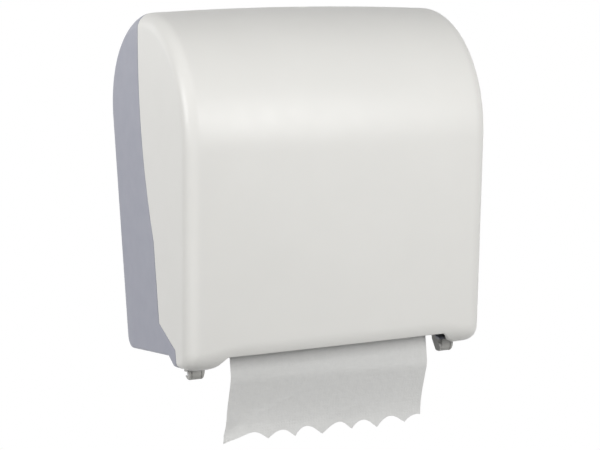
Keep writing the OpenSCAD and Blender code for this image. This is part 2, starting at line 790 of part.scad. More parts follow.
// Curl of the hanging tail at a height
function tail_at(z) = let (t = min(max(-z / tail_len, 0), 1))
    [drum[0] - sheet_drum_r + tail_curl * t * t * (3 - 2 * t), z];

function towel_line() = concat(
    [roll + sheet_roll_r * [cos(tangent_a), sin(tangent_a)]],
    arc(pinch, sheet_pinch_r, tangent_a, -90, 6),
    arc(drum, sheet_drum_r, 95, 180, 16),
    [for (i = [0:12]) tail_at(-tail_len * i / 12)]
);

// Angle of the line that touches roll and pinch roller on the wall side
tangent_a = atan2(pinch[1] - roll[1], pinch[0] - roll[0])
    + acos((sheet_roll_r - sheet_pinch_r) / norm(pinch - roll));

function ribbon(line, t) = let (
    n = len(line),
    side = [for (i = [0:n - 1]) let (d = unit(line[min(i + 1, n - 1)] - line[max(i - 1, 0)])) [-d[1], d[0]]]
) concat(
    [for (i = [0:n - 1]) line[i] + side[i] * t / 2],
    [for (i = [n - 1:-1:0]) line[i] - side[i] * t / 2]
);

module towel_sheet() color(PAPER) in_frame() difference() {
    across(-towel_w / 2, towel_w / 2) polygon(ribbon(towel_line(), towel_t));
    for (x = scallop_xs) translate([x, 0, scallop_rise - tail_len - scallop_r]) rotate([90, 0, 0])
        cylinder(r = scallop_r, h = 2 * body_d, center = true);
}

// Return spring: a hook round the crank pin, the coils and a hook round the post
spring_l = norm(post - crank_pin);
spring_lead = 2.2 * coil_r;
spring_turns = coil_count + 0.5;
coil_l = spring_l - 2 * spring_lead;
hook_turn = 240;

function spring_line() = concat(
    [for (i = [0:6]) let (a = 270 - hook_turn * (1 - i / 6)) [coil_r * cos(a), coil_r * sin(a), 0]],
    [for (i = [0:spring_turns * 8]) let (t = i * 45) [spring_lead + coil_l * t / 360 / spring_turns,
        -coil_r * cos(t), coil_r * sin(t)]],
    [for (i = [0:6]) let (a = 90 - hook_turn * i / 6) [spring_l + coil_r * cos(a), coil_r * sin(a), 0]]
);

function spring_place(p) = let (across_dir = [-crank_dir[1], crank_dir[0]],
    yz = crank_pin + p[0] * crank_dir + p[1] * across_dir) [p[2] - spring_x, yz[0], yz[1]];

function tangents(line) = let (n = len(line))
    [for (i = [0:n - 1]) unit(line[min(i + 1, n - 1)] - line[max(i - 1, 0)])];

function carried(t, i, v) = unit(v - t[i] * (v * t[i]));

function normals(t) = [for (i = 0, v = carried(t, 0, [1, 0, 0]); i < len(t);
    i = i + 1, v = i < len(t) ? carried(t, i, v) : v) v];

// A tube of six sides along a line of points
module tube(line, r) {
    t = tangents(line);
    u = normals(t);
    n = len(line);
    points = [for (i = [0:n - 1]) for (k = [0:5])
        line[i] + r * (cos(60 * k) * u[i] + sin(60 * k) * cross(t[i], u[i]))];
    sides = [for (i = [0:n - 2]) for (k = [0:5]) let (a = 6 * i + k, b = 6 * i + (k + 1) % 6)
        each [[a, a + 6, b], [b, a + 6, b + 6]]];
    ends = [for (k = [1:4]) each [[0, k, k + 1], [6 * n - 6, 6 * n - 6 + k + 1, 6 * n - 6 + k]]];
    polyhedron(points, concat(sides, ends));
}

spring_points = [for (p = spring_line()) spring_place(p)];
spring_gap = min([for (i = [0:len(spring_points) - 7]) for (j = [i + 6:len(spring_points) - 1])
    norm(spring_points[i] - spring_points[j])]) - wire_d;

module return_spring() {
    echo("least gap of the return spring to itself, mm", spring_gap);
    color(SPRING_STEEL) in_frame() tube(spring_points, wire_d / 2);
}

// Cover: the front of the body with the raised slot edge, hinge arms and lock boss
function slot_end(side) = [for (i = [0:8]) let (a = 90 * i / 8)
    [side * (slot_half_w + slot_ramp * (1 - i / 8)), slot_z - (slot_z - slot_foot_z) * cos(a)]];

module slot_notch() translate([0, -floor_depth, 0]) rotate([90, 0, 0]) linear_extrude(body_d)
    polygon(concat([[-slot_half_w - slot_ramp, -beyond], [slot_half_w + slot_ramp, -beyond]],
        slot_end(1), [for (i = [8:-1:0]) slot_end(-1)[i]]));

hinge_arm_x = toe_x + (hook_w - hinge_arm_t) / 2;
arm_inset = crown * pow((hinge_arm_x + hinge_arm_t / 2) / (half_w - edge_r), 2);
arm_root_a = 225;
arm_root = front_low + (front_low_r - arm_inset - wall / 2) * [cos(arm_root_a), sin(arm_root_a)];
arm_knee = [-toe_depth - arm_knee_r, toe_z - arm_toe_gap - arm_knee_r];

// Arm from the cover's lower front, bent under the toe, to the eye between the fins
module hinge_arm() across(hinge_arm_x, hinge_arm_x + hinge_arm_t) {
    hull() {
        translate(hinge) circle(r = arm_eye_r);
        translate(arm_knee) circle(r = arm_knee_r);
    }
    hull() {
        translate(arm_knee) circle(r = arm_knee_r);
        translate(arm_root) circle(r = wall / 2);
    }
}

// Places a shape at the lock, with its Z along the arch's normal
module at_lock() translate([0, lock_face[0], lock_face[1]]) rotate([lock_drop_a, 0, 0]) children();

module cover() color(PEARL) in_frame() difference() {
    union() {
        difference() {
            intersection() {
                body_form(0);
                across(-body_w, body_w) polygon(cover_outline());
            }
            body_form(wall);
            slot_notch();
        }
        both_sides() hinge_arm();
        at_lock() translate([0, 0, -lock_head_t - lock_len + pass_gap])
            cylinder(r = lock_boss_r, h = lock_len - pass_gap);
    }
    at_lock() {
        translate([0, 0, -lock_head_t]) cylinder(r = lock_head_r + run_fit, h = beyond);
        translate([0, 0, -beyond]) cylinder(r = lock_r + run_fit, h = 2 * beyond);
    }
    both_sides() rod(toe_x, toe_x + hook_w, hinge, hinge_pin_r + hold_fit);
}

module hinge_pin() rod(toe_x + pin_inset, toe_x + hook_w - pin_inset, hinge, hinge_pin_r);

module hinge_pin_left() color(STEEL) in_frame() left_side() hinge_pin();

module hinge_pin_right() color(STEEL) in_frame() hinge_pin();

module lock_barrel() color(PEARL) in_frame() at_lock() difference() {
    union() {
        translate([0, 0, -lock_head_t - lock_len]) cylinder(r = lock_r, h = lock_len + eps);
        translate([0, 0, -lock_head_t]) cylinder(r = lock_head_r, h = lock_head_t - pass_gap);
    }
    for (x = [-1, 1]) translate([x * lock_r / 2, 0, -lock_len / 2]) cylinder(r = key_hole_r, h = lock_len);
    translate([0, 0, -lock_head_t - lock_len - eps])
        cylinder(r = tongue_screw_r + hold_fit, h = lock_len / 2);
}

module lock_tongue() color(STEEL) in_frame() at_lock() translate([0, 0, -lock_head_t - lock_len]) {
    translate([0, 0, -tongue_t]) linear_extrude(tongue_t) hull() {
        circle(r = lock_r);
        translate([0, tongue_reach - tongue_w / 2]) circle(r = tongue_w / 2);
    }
    translate([0, 0, -eps]) cylinder(r = tongue_screw_r, h = lock_len / 2 - pass_gap);
    translate([0, 0, -tongue_t - tongue_screw_head_h])
        cylinder(r = tongue_screw_head_r, h = tongue_screw_head_h + eps);
}

// Drum: two half shells on the shaft, one with the blade slot
module at_drum() translate([0, drum[0], drum[1]]) rotate([slot_a, 0, 0]) children();

module at_blade() at_drum() translate([0, blade_pivot_r * cos(pivot_a), blade_pivot_r * sin(pivot_a)])
    rotate([lever_a - 90, 0, 0]) children();

pillar_v = shell_r - drum_t - pillar_r;
pillar_xs = [-pillar_pitch, 0, pillar_pitch];
screw_end = sqrt(pow(shell_r - drum_t, 2) - pow(pillar_v, 2)) - 1;
grip_span = 2 * drum_half - 2 * grip_w;

// A round bar from y0 forwards or back through each pillar
module through_pillars(y0, y1, r) for (x = pillar_xs)
    translate([x, y0, pillar_v]) rotate([-90, 0, 0]) cylinder(r = r, h = y1 - y0);

module drum_tube() difference() {
    rod(-drum_half, drum_half, [0, 0], shell_r);
    rod(drum_t - drum_half, drum_half - drum_t, [0, 0], shell_r - drum_t);
}

module half_space(side) translate([-body_w, side > 0 ? 0 : -2 * drum_r, -2 * drum_r])
    cube([2 * body_w, 2 * drum_r, 4 * drum_r]);

module drum_half_shell(side) intersection() {
    union() {
        drum_tube();
        intersection() {
            through_pillars(-drum_r, drum_r, pillar_r);
            rod(-drum_half, drum_half, [0, 0], shell_r - drum_t / 2);
        }
    }
    half_space(side);
}

// Wedge from the drum's axis, as wide as the blade slot and a margin in degrees
module slot_wedge(x0, x1, margin) let (a = -slot_near - margin, b = slot_far + margin)
    across(x0, x1) polygon([[0, 0], 2 * drum_r * [cos(a), sin(a)], 2 * drum_r * [cos(b), sin(b)]]);

module shaft_bore() rod(-body_w, body_w, [0, 0], shaft_r + hold_fit);

module drum_slotted_half() color(ACETAL) in_frame() at_drum() difference() {
    drum_half_shell(1);
    slot_wedge(drum_t - drum_half, drum_half - drum_t, 0);
    shaft_bore();
    rod(-body_w, body_w, blade_pivot_r * [cos(pivot_a), sin(pivot_a)], blade_pin_r + run_fit);
    through_pillars(-drum_r, screw_end, drum_screw_r + hold_fit);
}

module drum_plain_half() color(ACETAL) in_frame() at_drum() difference() {
    drum_half_shell(-1);
    shaft_bore();
    through_pillars(-drum_r, drum_r, drum_screw_r + hold_fit);
    through_pillars(-2 * drum_r, -screw_end, drum_screw_head_r + hold_fit);
}

module drum_screws() color(STEEL) in_frame() at_drum() {
    through_pillars(-screw_end - eps, screw_end - 1, drum_screw_r);
    through_pillars(-screw_end - drum_screw_head_h, -screw_end, drum_screw_head_r);
}

module grip_strips() color(RUBBER) in_frame() at_drum() for (i = [0:grip_count - 1])
    let (x = grip_span * (i / (grip_count - 1) - 0.5)) difference() {
        rod(x - grip_w / 2, x + grip_w / 2, [0, 0], drum_r);
        rod(x - grip_w, x + grip_w, [0, 0], shell_r + hold_fit);
        slot_wedge(x - grip_w, x + grip_w, 2);
    }

shaft_end = knob_x + knob_w - 4;
knob_groove_at = knob_r + knob_groove_r / 2;

module drum_shaft() color(STEEL) in_frame() rod(-crank_x - crank_t - pass_gap, shaft_end, drum, shaft_r);

// Feed knob with finger grooves and a dished end
module feed_knob() color(KNOB_GREEN) in_frame() difference() {
    rod(knob_x, knob_x + knob_w, drum, knob_r);
    for (i = [0:knob_grooves - 1])
        rod(knob_x - 1, knob_x + knob_w + 1, from_drum(knob_groove_at, 360 * i / knob_grooves),
            knob_groove_r);
    rod(knob_x - 1, shaft_end, drum, shaft_r + hold_fit);
    difference() {
        rod(knob_x + knob_w - knob_dish, knob_x + knob_w + 1, drum, knob_r - knob_groove_r - 2);
        rod(knob_x, knob_x + knob_w + 2, drum, shaft_r + 3);
    }
}

module ratchet_wheel() color(STEEL) in_frame() difference() {
    across(ratchet_x, ratchet_x + ratchet_t) translate(drum)
        polygon([for (i = [0:ratchet_teeth - 1]) let (a = pawl_a + i * ratchet_pitch, root = a - 0.5)
            each [(ratchet_r - ratchet_tooth) * [cos(root), sin(root)], ratchet_r * [cos(a), sin(a)]]]);
    rod(ratchet_x - 1, ratchet_x + ratchet_t + 1, drum, shaft_r + hold_fit);
}

module crank_disc() color(STEEL) in_frame() left_side() difference() {
    union() {
        rod(crank_x, crank_x + crank_t, drum, crank_r);
        rod(crank_x + eps, pin_end, crank_pin, crank_pin_r);
    }
    rod(crank_x - 1, crank_x + crank_t + 1, drum, shaft_r + hold_fit);
    for (a = [90, 180, 270])
        rod(crank_x - 1, crank_x + crank_t + 1, from_drum(crank_hole_at, crank_a + a), crank_hole_r);
}

// Blade: a carrier that swings in the drum and a scalloped strip on its seat
carrier_half = drum_half - drum_t - pass_gap;
blade_half = carrier_half - 4;
blade_seat = blade_lever - blade_t / 2;
seat_run = blade_w - scallop_rise / 2 - 5;
follower_end = plate_x - 1.5;
follower_a = pivot_a - (lever_a - 90);
rivet_y = 4 - blade_w;
rivet_xs = [for (i = [-2:2]) i * rivet_pitch];

module blade_carrier() color(CHASSIS_GREY) in_frame() at_blade() {
    across(-carrier_half, carrier_half) {
        hull() {
            circle(r = carrier_r);
            translate([seat_t - 1.5 - blade_w, blade_seat - seat_t + 0.5]) circle(r = seat_t - 1.5);
        }
        translate([-blade_w - 1, blade_seat - seat_t]) square([seat_run, seat_t]);
    }
    rod(-follower_end, drum_half, [0, 0], blade_pin_r);
    across(-follower_end, -drum_half - pass_gap) hull() {
        circle(r = blade_pin_r + 1);
        translate(follower_reach * [cos(follower_a), sin(follower_a)]) circle(r = follower_r);
    }
}

module cutting_blade() color(STEEL) in_frame() at_blade() translate([0, 0, blade_seat])
    linear_extrude(blade_t) difference() {
        translate([-blade_half, -blade_w]) square([2 * blade_half, blade_w]);
        for (x = scallop_xs) translate([x, scallop_r - scallop_rise]) circle(r = scallop_r);
        for (x = rivet_xs) translate([x, rivet_y]) circle(r = drum_screw_r + hold_fit);
    }

module blade_rivets() color(STEEL) in_frame() at_blade() for (x = rivet_xs)
    translate([x, rivet_y, blade_seat]) {
        cylinder(r = drum_screw_r, h = blade_t + eps);
        translate([0, 0, blade_t]) cylinder(r = rivet_head_r, h = rivet_head_h);
    }

// Pinch roller: sleeves on a shaft, in a carrier that swings on its rod
pinch_arm_x = plate_x - pass_gap - pinch_arm_t;
sleeve_span = towel_w - sleeve_len - 10;

module pinch_carrier() color(STEEL) in_frame() difference() {
    union() {
        both_sides() across(pinch_arm_x, pinch_arm_x + pinch_arm_t) hull() {
            translate(pinch) circle(r = pinch_shaft_r + pinch_arm_t);
            translate(pinch_pivot) circle(r = pinch_rod_r + pinch_arm_t + 1);
        }
        translate([-pinch_arm_x - eps, pinch_pivot[0] - bridge_w - pinch_rod_r, pinch_pivot[1] + 2])
            cube([2 * pinch_arm_x + 2 * eps, bridge_w, pinch_arm_t]);
    }
    rod(-body_w, body_w, pinch, pinch_shaft_r + run_fit);
    rod(-body_w, body_w, pinch_pivot, pinch_rod_r + run_fit);
}

module pinch_shaft() color(STEEL) in_frame()
    rod(-pinch_arm_x - pinch_arm_t, pinch_arm_x + pinch_arm_t, pinch, pinch_shaft_r);

module pinch_sleeves() color(RUBBER) in_frame() for (i = [0:sleeve_count - 1])
    let (x = sleeve_span * (i / (sleeve_count - 1) - 0.5)) difference() {
        rod(x - sleeve_len / 2, x + sleeve_len / 2, pinch, pinch_r);
        rod(x - sleeve_len, x + sleeve_len, pinch, pinch_shaft_r + hold_fit);
    }

// Pawl: drawn with its tip in a tooth, where it swings out square to the wheel, then lifted to ride
pawl_tip = from_drum(pawl_tip_r, pawl_a - tooth_room_a) - pawl_pivot;
pawl_under = from_drum(ratchet_r + pawl_r, pawl_a - 25) - pawl_pivot;
pawl_over = from_drum(ratchet_r + pawl_r, pawl_a - tooth_room_a) - pawl_pivot;

module pawl() color(STEEL) in_frame() difference() {
    across(ratchet_x, ratchet_x + ratchet_t) translate(pawl_pivot) rotate(-pawl_ride) {
        circle(r = pawl_r);
        polygon([pawl_tip, pawl_under, [0, 1 - pawl_r], [0, pawl_r - 1], pawl_over]);
    }
    rod(ratchet_x - 1, ratchet_x + ratchet_t + 1, pawl_pivot, pawl_pin_r + run_fit);
}

module towel_roll() color(PAPER) in_frame() difference() {
    rod(-towel_w / 2, towel_w / 2, roll, roll_dia / 2);
    rod(-towel_w, towel_w, roll, core_dia / 2 + core_t);
}

module roll_core() color(CARDBOARD) in_frame() difference() {
    rod(-towel_w / 2, towel_w / 2, roll, core_dia / 2 + core_t - hold_fit);
    rod(-towel_w, towel_w, roll, core_dia / 2);
}

module roll_arm() difference() {
    union() {
        across(roll_arm_x, roll_arm_x + roll_arm_t) hull() {
            translate(hub) circle(r = roll_arm_r);
            translate([-arm_pivot_depth - roll_arm_t, roll_z - roll_arm_root / 2])
                square([roll_arm_t, roll_arm_root]);
        }
        at_arm_pin() cylinder(r = knuckle_r, h = roll_arm_root, center = true);
    }
    at_arm_pin() cylinder(r = arm_pin_r + run_fit, h = 2 * beyond, center = true);
    rod(roll_arm_x - 1, roll_arm_x + roll_arm_t + 1, hub, hub_stud_r + hold_fit);
    across(roll_arm_x - 1, roll_arm_x + roll_arm_t + 1) hull() for (y = [0, arm_slot_len])
        translate(hub + [arm_slot_near + y, 0]) circle(r = arm_slot_r);
}

module roll_hub() {
    rod(hub_face, hub_face + hub_flange_t, hub, roll_arm_r - 1);
    rod(hub_face, roll_arm_x + roll_arm_t + 1.5, hub, hub_stud_r);
    translate([hub_face + eps, hub[0], hub[1]]) rotate([0, -90, 0])
        cylinder(r1 = hub_r, r2 = hub_tip_r, h = hub_len);
}

module roll_arm_left() color(CHASSIS_GREY) in_frame() left_side() roll_arm();

module roll_hub_left() color(ACETAL) in_frame() left_side() roll_hub();

module roll_arm_right() color(CHASSIS_GREY) in_frame() roll_arm();

module roll_hub_right() color(ACETAL) in_frame() roll_hub();

housing();
strike();
arm_pins();
side_plate_left();
side_plate_right();
tie_rod();
case_screws();
drum_bush_left();
drum_bush_right();
kick_pin();
front_guard();
pinch_pivot_rod();
pawl_pin();
towel_sheet();
return_spring();
cover();
hinge_pin_left();
hinge_pin_right();
lock_barrel();
lock_tongue();
drum_slotted_half();
drum_plain_half();
drum_screws();
grip_strips();
drum_shaft();
feed_knob();
ratchet_wheel();
crank_disc();
blade_carrier();
cutting_blade();
blade_rivets();
pinch_carrier();
pinch_shaft();
pinch_sleeves();
pawl();
towel_roll();
roll_core();
roll_arm_left();
roll_hub_left();
roll_arm_right();
roll_hub_right();
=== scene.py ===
import json
import math

import bpy
from mathutils import Matrix, Vector


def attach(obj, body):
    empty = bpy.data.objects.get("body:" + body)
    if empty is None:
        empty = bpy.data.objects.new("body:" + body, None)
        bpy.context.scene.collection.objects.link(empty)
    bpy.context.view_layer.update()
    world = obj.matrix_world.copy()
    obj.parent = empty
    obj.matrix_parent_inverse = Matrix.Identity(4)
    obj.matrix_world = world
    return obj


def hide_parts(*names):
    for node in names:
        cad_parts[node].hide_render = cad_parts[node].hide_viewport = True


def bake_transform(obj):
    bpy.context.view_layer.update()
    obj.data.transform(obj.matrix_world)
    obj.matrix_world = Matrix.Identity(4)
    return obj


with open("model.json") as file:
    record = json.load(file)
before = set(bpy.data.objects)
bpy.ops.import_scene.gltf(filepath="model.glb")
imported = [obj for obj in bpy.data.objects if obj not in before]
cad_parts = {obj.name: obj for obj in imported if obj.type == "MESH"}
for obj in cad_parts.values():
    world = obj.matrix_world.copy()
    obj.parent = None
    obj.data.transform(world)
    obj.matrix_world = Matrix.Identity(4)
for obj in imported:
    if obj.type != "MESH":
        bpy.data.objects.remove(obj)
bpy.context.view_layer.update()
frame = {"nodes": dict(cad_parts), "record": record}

# Lengths are millimetres: x along the wall, y negative to the front, z up from the cover's lowest edge.
mm = 0.001
body = {
    "width": 331, "depth": 221, "height": 361, "mountZ": 136,
    "rearR": 100, "frontR": 125, "lean": 11,
    "lowR": 25, "middleLowR": 33, "middleTo": 105, "cornerFrom": 150,
    "edgeR": 15, "crown": 3.5, "fade": 95, "draft": 0.8, "wall": 3,
    "rearLowR": 10, "floorZ": 15.5, "floorY": -123, "floorRise": 4, "riseFrom": 8.5, "riseRun": 10,
    "underShare": 0.65, "underSquare": 0.012, "underEnd": -125,
}
parting = {
    "gap": 0.8, "y": -86.5, "z": 245, "bowR": 440, "straightZ": 129, "turnZ": 47,
    "shoulder": (-144.6, 22.6), "toe": (-145.5, 5.3), "endZ": -100,
}
slotEdge = {
    "z": 13.3, "halfWidth": 120, "ramp": 16, "foot": 2.86, "fall": 30,
    "backFrom": -160, "backSlope": 0.35,
}
toes = {"x": 130.5, "knee": (-138.5, 4.8), "tip": (-150.1, 3.8), "past": 5}
hinge = {"y": -132, "z": -3}

halfWidth = body["width"] / 2
rearCentre = (-body["rearR"], body["height"] - body["rearR"])
frontCentre = (body["frontR"] - body["depth"], body["height"] - body["frontR"])


def place(x, y, z):
    return Vector((x, y, z - body["mountZ"])) * mm


def steps(first, last, count):
    return [first + (last - first) * i / count for i in range(count + 1)]


def onCircle(centre, radius, degrees):
    a = math.radians(degrees)
    return centre[0] + radius * math.cos(a), centre[1] + radius * math.sin(a)


def around(centre, radius, first, last, count):
    return [onCircle(centre, radius, a) for a in steps(first, last, count)]


# Modelling helpers

def onlySelect(*pieces):
    bpy.ops.object.select_all(action="DESELECT")
    for piece in pieces:
        piece.select_set(True)
    bpy.context.view_layer.objects.active = pieces[0]


def inEdit(piece, *actions):
    onlySelect(piece)
    bpy.ops.object.mode_set(mode="EDIT")
    bpy.ops.mesh.select_all(action="SELECT")
    for action in actions:
        action()
    bpy.ops.object.mode_set(mode="OBJECT")
    return piece


def sheetOver(name, rows):
    # a grid whose points are pulled onto the rows of a surface
    bpy.ops.object.select_all(action="DESELECT")
    bpy.ops.mesh.primitive_grid_add(x_subdivisions=len(rows[0]) - 1, y_subdivisions=len(rows) - 1)
    piece = bpy.context.object
    piece.name = name
    points = [p for row in rows for p in row]
    for vertex, point in zip(piece.data.vertices, points):
        vertex.co = point
    return piece


def faceOf(name, loop):
    # a filled circle whose points are pulled onto an outline
    bpy.ops.object.select_all(action="DESELECT")
    bpy.ops.mesh.primitive_circle_add(vertices=len(loop), fill_type="NGON")
    piece = bpy.context.object
    piece.name = name
    for vertex, point in zip(piece.data.vertices, loop):
        vertex.co = point
    return piece


def barOf(name, loop, run):
    # an outline pushed along a run to a closed bar
    piece = faceOf(name, loop)
    return inEdit(
        piece,
        lambda: bpy.ops.mesh.extrude_region_move(TRANSFORM_OT_translate={"value": run}),
        lambda: bpy.ops.mesh.select_all(action="SELECT"),
        lambda: bpy.ops.mesh.normals_make_consistent(inside=False),
    )


def barAcross(name, view, x0, x1):
    return barOf(name, [place(x0, y, z) for y, z in view], Vector((x1 - x0, 0, 0)) * mm)


def pinOf(name, centre, radius, run, sides=48):
    # a cylinder from a point along a run, in metres
    bpy.ops.object.select_all(action="DESELECT")
    run = Vector(run)
    middle = Vector(centre) + run / 2
    turn = Vector((0, 0, 1)).rotation_difference(run.normalized()).to_euler()
    bpy.ops.mesh.primitive_cylinder_add(
        vertices=sides, radius=radius, depth=run.length, location=middle, rotation=turn)
    piece = bpy.context.object
    piece.name = name
    bpy.ops.object.transform_apply(location=True, rotation=True, scale=True)
    return piece


def joined(name, pieces):
    onlySelect(*pieces)
    if len(pieces) > 1:
        bpy.ops.object.join()
    pieces[0].name = name
    return pieces[0]


def merged(piece, distance=0.00002):
    return inEdit(
        piece,
        lambda: bpy.ops.mesh.remove_doubles(threshold=distance),
        lambda: bpy.ops.mesh.normals_make_consistent(inside=False),
    )


def applied(piece, kind, **settings):
    onlySelect(piece)
    modifier = piece.modifiers.new(kind.title(), kind)
    for key, value in settings.items():
        setattr(modifier, key, value)
    bpy.ops.object.modifier_apply(modifier=modifier.name)
    return piece


def bevelled(piece, width, segments=2, angle=40):
    return applied(
        piece, "BEVEL", width=width * mm, segments=segments, limit_method="ANGLE",
        angle_limit=math.radians(angle), use_clamp_overlap=False, miter_outer="MITER_ARC")


def smoothed(piece, angle=35):
    onlySelect(piece)
    bpy.ops.object.shade_smooth_by_angle(angle=math.radians(angle))
    return piece


def cut(piece, cutter):
    applied(piece, "BOOLEAN", operation="DIFFERENCE", object=cutter, solver="EXACT")
    bpy.data.objects.remove(cutter)
    return piece


# Body surface, from the outer face or set inwards by a depth

leanAway = (-math.cos(math.radians(body["lean"])), -math.sin(math.radians(body["lean"])))
leanDown = (math.sin(math.radians(body["lean"])), -math.cos(math.radians(body["lean"])))


def lowArc(radius):
    # centre of the rounding between the leaning front and the underside
    start = tuple(c + (body["frontR"] - radius) * n for c, n in zip(frontCentre, leanAway))
    reach = (start[1] - radius) / math.cos(math.radians(body["lean"]))
    return tuple(c + reach * d for c, d in zip(start, leanDown))


def eased(t):
    return t * t * (3 - 2 * t)


def lowRadius(s):
    # rounder over the slot than at the lower corners
    t = min(max((abs(s) - body["middleTo"]) / (body["cornerFrom"] - body["middleTo"]), 0), 1)
    return body["middleLowR"] + (body["lowR"] - body["middleLowR"]) * eased(t)


lowCentre = lowArc(body["lowR"])
draftSlope = math.tan(math.radians(body["draft"])) / halfWidth


def fade(angle):
    # the side's rounding dies out over the top towards the wall
    return eased(min(angle / body["fade"], 1))


def arch(centre, radius, inset, first, last, count):
    return [onCircle(centre, radius - inset * fade(a), a) for a in steps(first, last, count)]


def lineOf(corners, count):
    points = []
    for p, q in zip(corners, corners[1:]):
        points += [tuple(a + (b - a) * t for a, b in zip(p, q)) for t in steps(0, 1, count)[:-1]]
    return points + [corners[-1]]


def undersideZ(y, inset, depth):
    share = (y - lowCentre[0]) / (-body["rearLowR"] - lowCentre[0])
    # the lower edge is squarer towards the wall
    lift = inset * (body["underShare"] - body["underSquare"] * max(0, y - lowCentre[0]))
    return depth + lift + (body["floorZ"] - lift) * share


def frontOutline(s, inset, depth):
    turned = 180 + body["lean"]
    radius = lowRadius(s)
    centre = lowArc(radius)
    top = arch(frontCentre, body["frontR"] - depth, inset, 90, turned, 200)
    low = []
    for a in steps(turned, 270, 60):
        # the side's rounding is flatter on the underside than on the front
        flatter = (1 - body["underShare"]) * eased((a - turned) / (270 - turned))
        low.append(onCircle(centre, radius - depth - inset * (1 - flatter), a))
    under = [(y, undersideZ(y, inset, depth)) for y in steps(centre[0], body["underEnd"], 60)]
    return top + lineOf([top[-1], low[0]], 120)[1:-1] + low + under[1:]


def roundUp(inset):
    # lift of the floor's edge where it turns into the side
    return body["floorRise"] * max(0, (inset - body["riseFrom"]) / body["riseRun"]) ** 2


def rearOutline(inset, depth):
    rear = arch(rearCentre, body["rearR"] - depth, inset, 100, 0, 140)
    lowZ = body["floorZ"] + body["rearLowR"] + roundUp(inset)
    back = lineOf([(-depth, rearCentre[1]), (-depth, lowZ)], 60)
    corner = around((-body["rearLowR"], lowZ), body["rearLowR"] - depth, 0, -90, 12)
    floor = []
    for y in steps(-body["rearLowR"], body["floorY"], 40):
        floor.append((y, max(body["floorZ"] + depth + roundUp(inset), undersideZ(y, inset, depth))))
    return rear + back[1:] + corner[1:] + floor[1:]


def toeOutline(inset, depth):
    tipY, tipZ = toes["tip"]
    corners = [(body["floorY"], body["floorZ"]), toes["knee"], (tipY, tipZ), (tipY - toes["past"], tipZ)]
    lift = depth + roundUp(inset)
    return [(y, max(z + lift, undersideZ(y, inset, depth))) for y, z in lineOf(corners, 24)]


def partingY(z):
    if z >= parting["straightZ"]:
        return parting["y"] - parting["bowR"] + math.sqrt(parting["bowR"] ** 2 - (z - parting["z"]) ** 2)
    upright = partingY(parting["straightZ"])
    line = [(upright, parting["turnZ"]), parting["shoulder"], parting["toe"]]
    line.append((parting["toe"][0], parting["endZ"]))
    for (y0, z0), (y1, z1) in zip(line, line[1:]):
        if z0 >= z >= z1:
            return y0 + (y1 - y0) * (z0 - z) / (z0 - z1)
    return upright


def notchZ(x):
    # raised edge over the towel, with a curved ramp down to the underside at each end
    t = (abs(x) - slotEdge["halfWidth"]) / slotEdge["ramp"]
    if t <= 0:
        return slotEdge["z"]
    drop = (slotEdge["z"] - slotEdge["foot"]) * math.sin(math.pi / 2 * min(t, 1))
    return slotEdge["z"] - drop - slotEdge["fall"] * max(0, t - 1)


def trimmed(points, room):
    # the stretch of a line where room is positive, cut where it reaches zero
    kept = [p for p in points[:1] if room(p) >= 0]
    for p, q in zip(points, points[1:]):
        a, b = room(p), room(q)
        if (a < 0) != (b < 0):
            t = a / (a - b)
            kept.append((p[0] + (q[0] - p[0]) * t, p[1] + (q[1] - p[1]) * t))
            if b < 0:
                return kept
        if b >= 0:
            kept.append(q)
    return kept


def spaced(points, count):
    # the same line with evenly spaced points
    reach = [0]
    for p, q in zip(points, points[1:]):
        reach.append(reach[-1] + math.dist(p, q))
    result = []
    i = 0
    for s in steps(0, reach[-1], count):
        while i < len(points) - 2 and reach[i + 1] < s:
            i += 1
        span = reach[i + 1] - reach[i]
        t = (s - reach[i]) / span if span > 0 else 0
        result.append(tuple(a + (b - a) * t for a, b in zip(points[i], points[i + 1])))
    return result


def sections(stops, depth):
    # (half width, inset) from the middle to the side: the bowed front and then the rounded edge
    tilt = math.atan(2 * body["crown"] / (halfWidth - body["edgeR"]))
    radius = body["edgeR"] - depth
    flat = halfWidth - depth - radius * (1 - math.sin(tilt))
    half = [(s, body["crown"] * (s / flat) ** 2) for s in stops]
    for a in steps(tilt, math.pi / 2, 12):
        across = flat + radius * (math.sin(a) - math.sin(tilt))
        half.append((across, body["crown"] + radius * (math.cos(tilt) - math.cos(a))))
    return half


def bothSides(half):
    return [(-s, d) for s, d in reversed(half) if s > 0] + half


def onBody(s, y, z):
    return place(s * (1 + y * draftSlope), y, z)


def raised(rows):
    return [[onBody(s, y, z) for y, z in row] for s, row in rows]


def partingLine(low, high, shift):
    # the edge of a flat side, from its low end to its high one
    bends = (parting["shoulder"][1], parting["turnZ"], parting["straightZ"])
    levels = [low] + [z for z in bends if low < z < high] + [high]
    points = []
    for z0, z1 in zip(levels, levels[1:]):
        points += [(partingY(z) + shift, z) for z in steps(z0, z1, 24)[1:]]
    return points[:-1]


def shellOf(name, faces, outerRim, innerRim, lip):
    # outer and inner faces closed by a rim, with the rim's edges rounded
    rim = sheetOver("rim", [outerRim + outerRim[:1], innerRim + innerRim[:1]])
    return bevelled(merged(joined(name, faces + [rim])), lip, 3, 50)


def finished(piece, angle=40):
    smoothed(piece, angle)
    return applied(piece, "WEIGHTED_NORMAL", keep_sharp=True, weight=100)


# Cover

coverSizes = {
    "columns": 110, "lowColumns": 44, "splitZ": 44, "lipR": 0.7,
    "stops": [0, 14, 28, 42, 56, 70, 84, 98, 108, 115] + [118 + 1.6 * i for i in range(12)]
    + [136.8 + 0.3 * i for i in range(14)] + [142.5, 144.5, 146.5, 148.5],
}


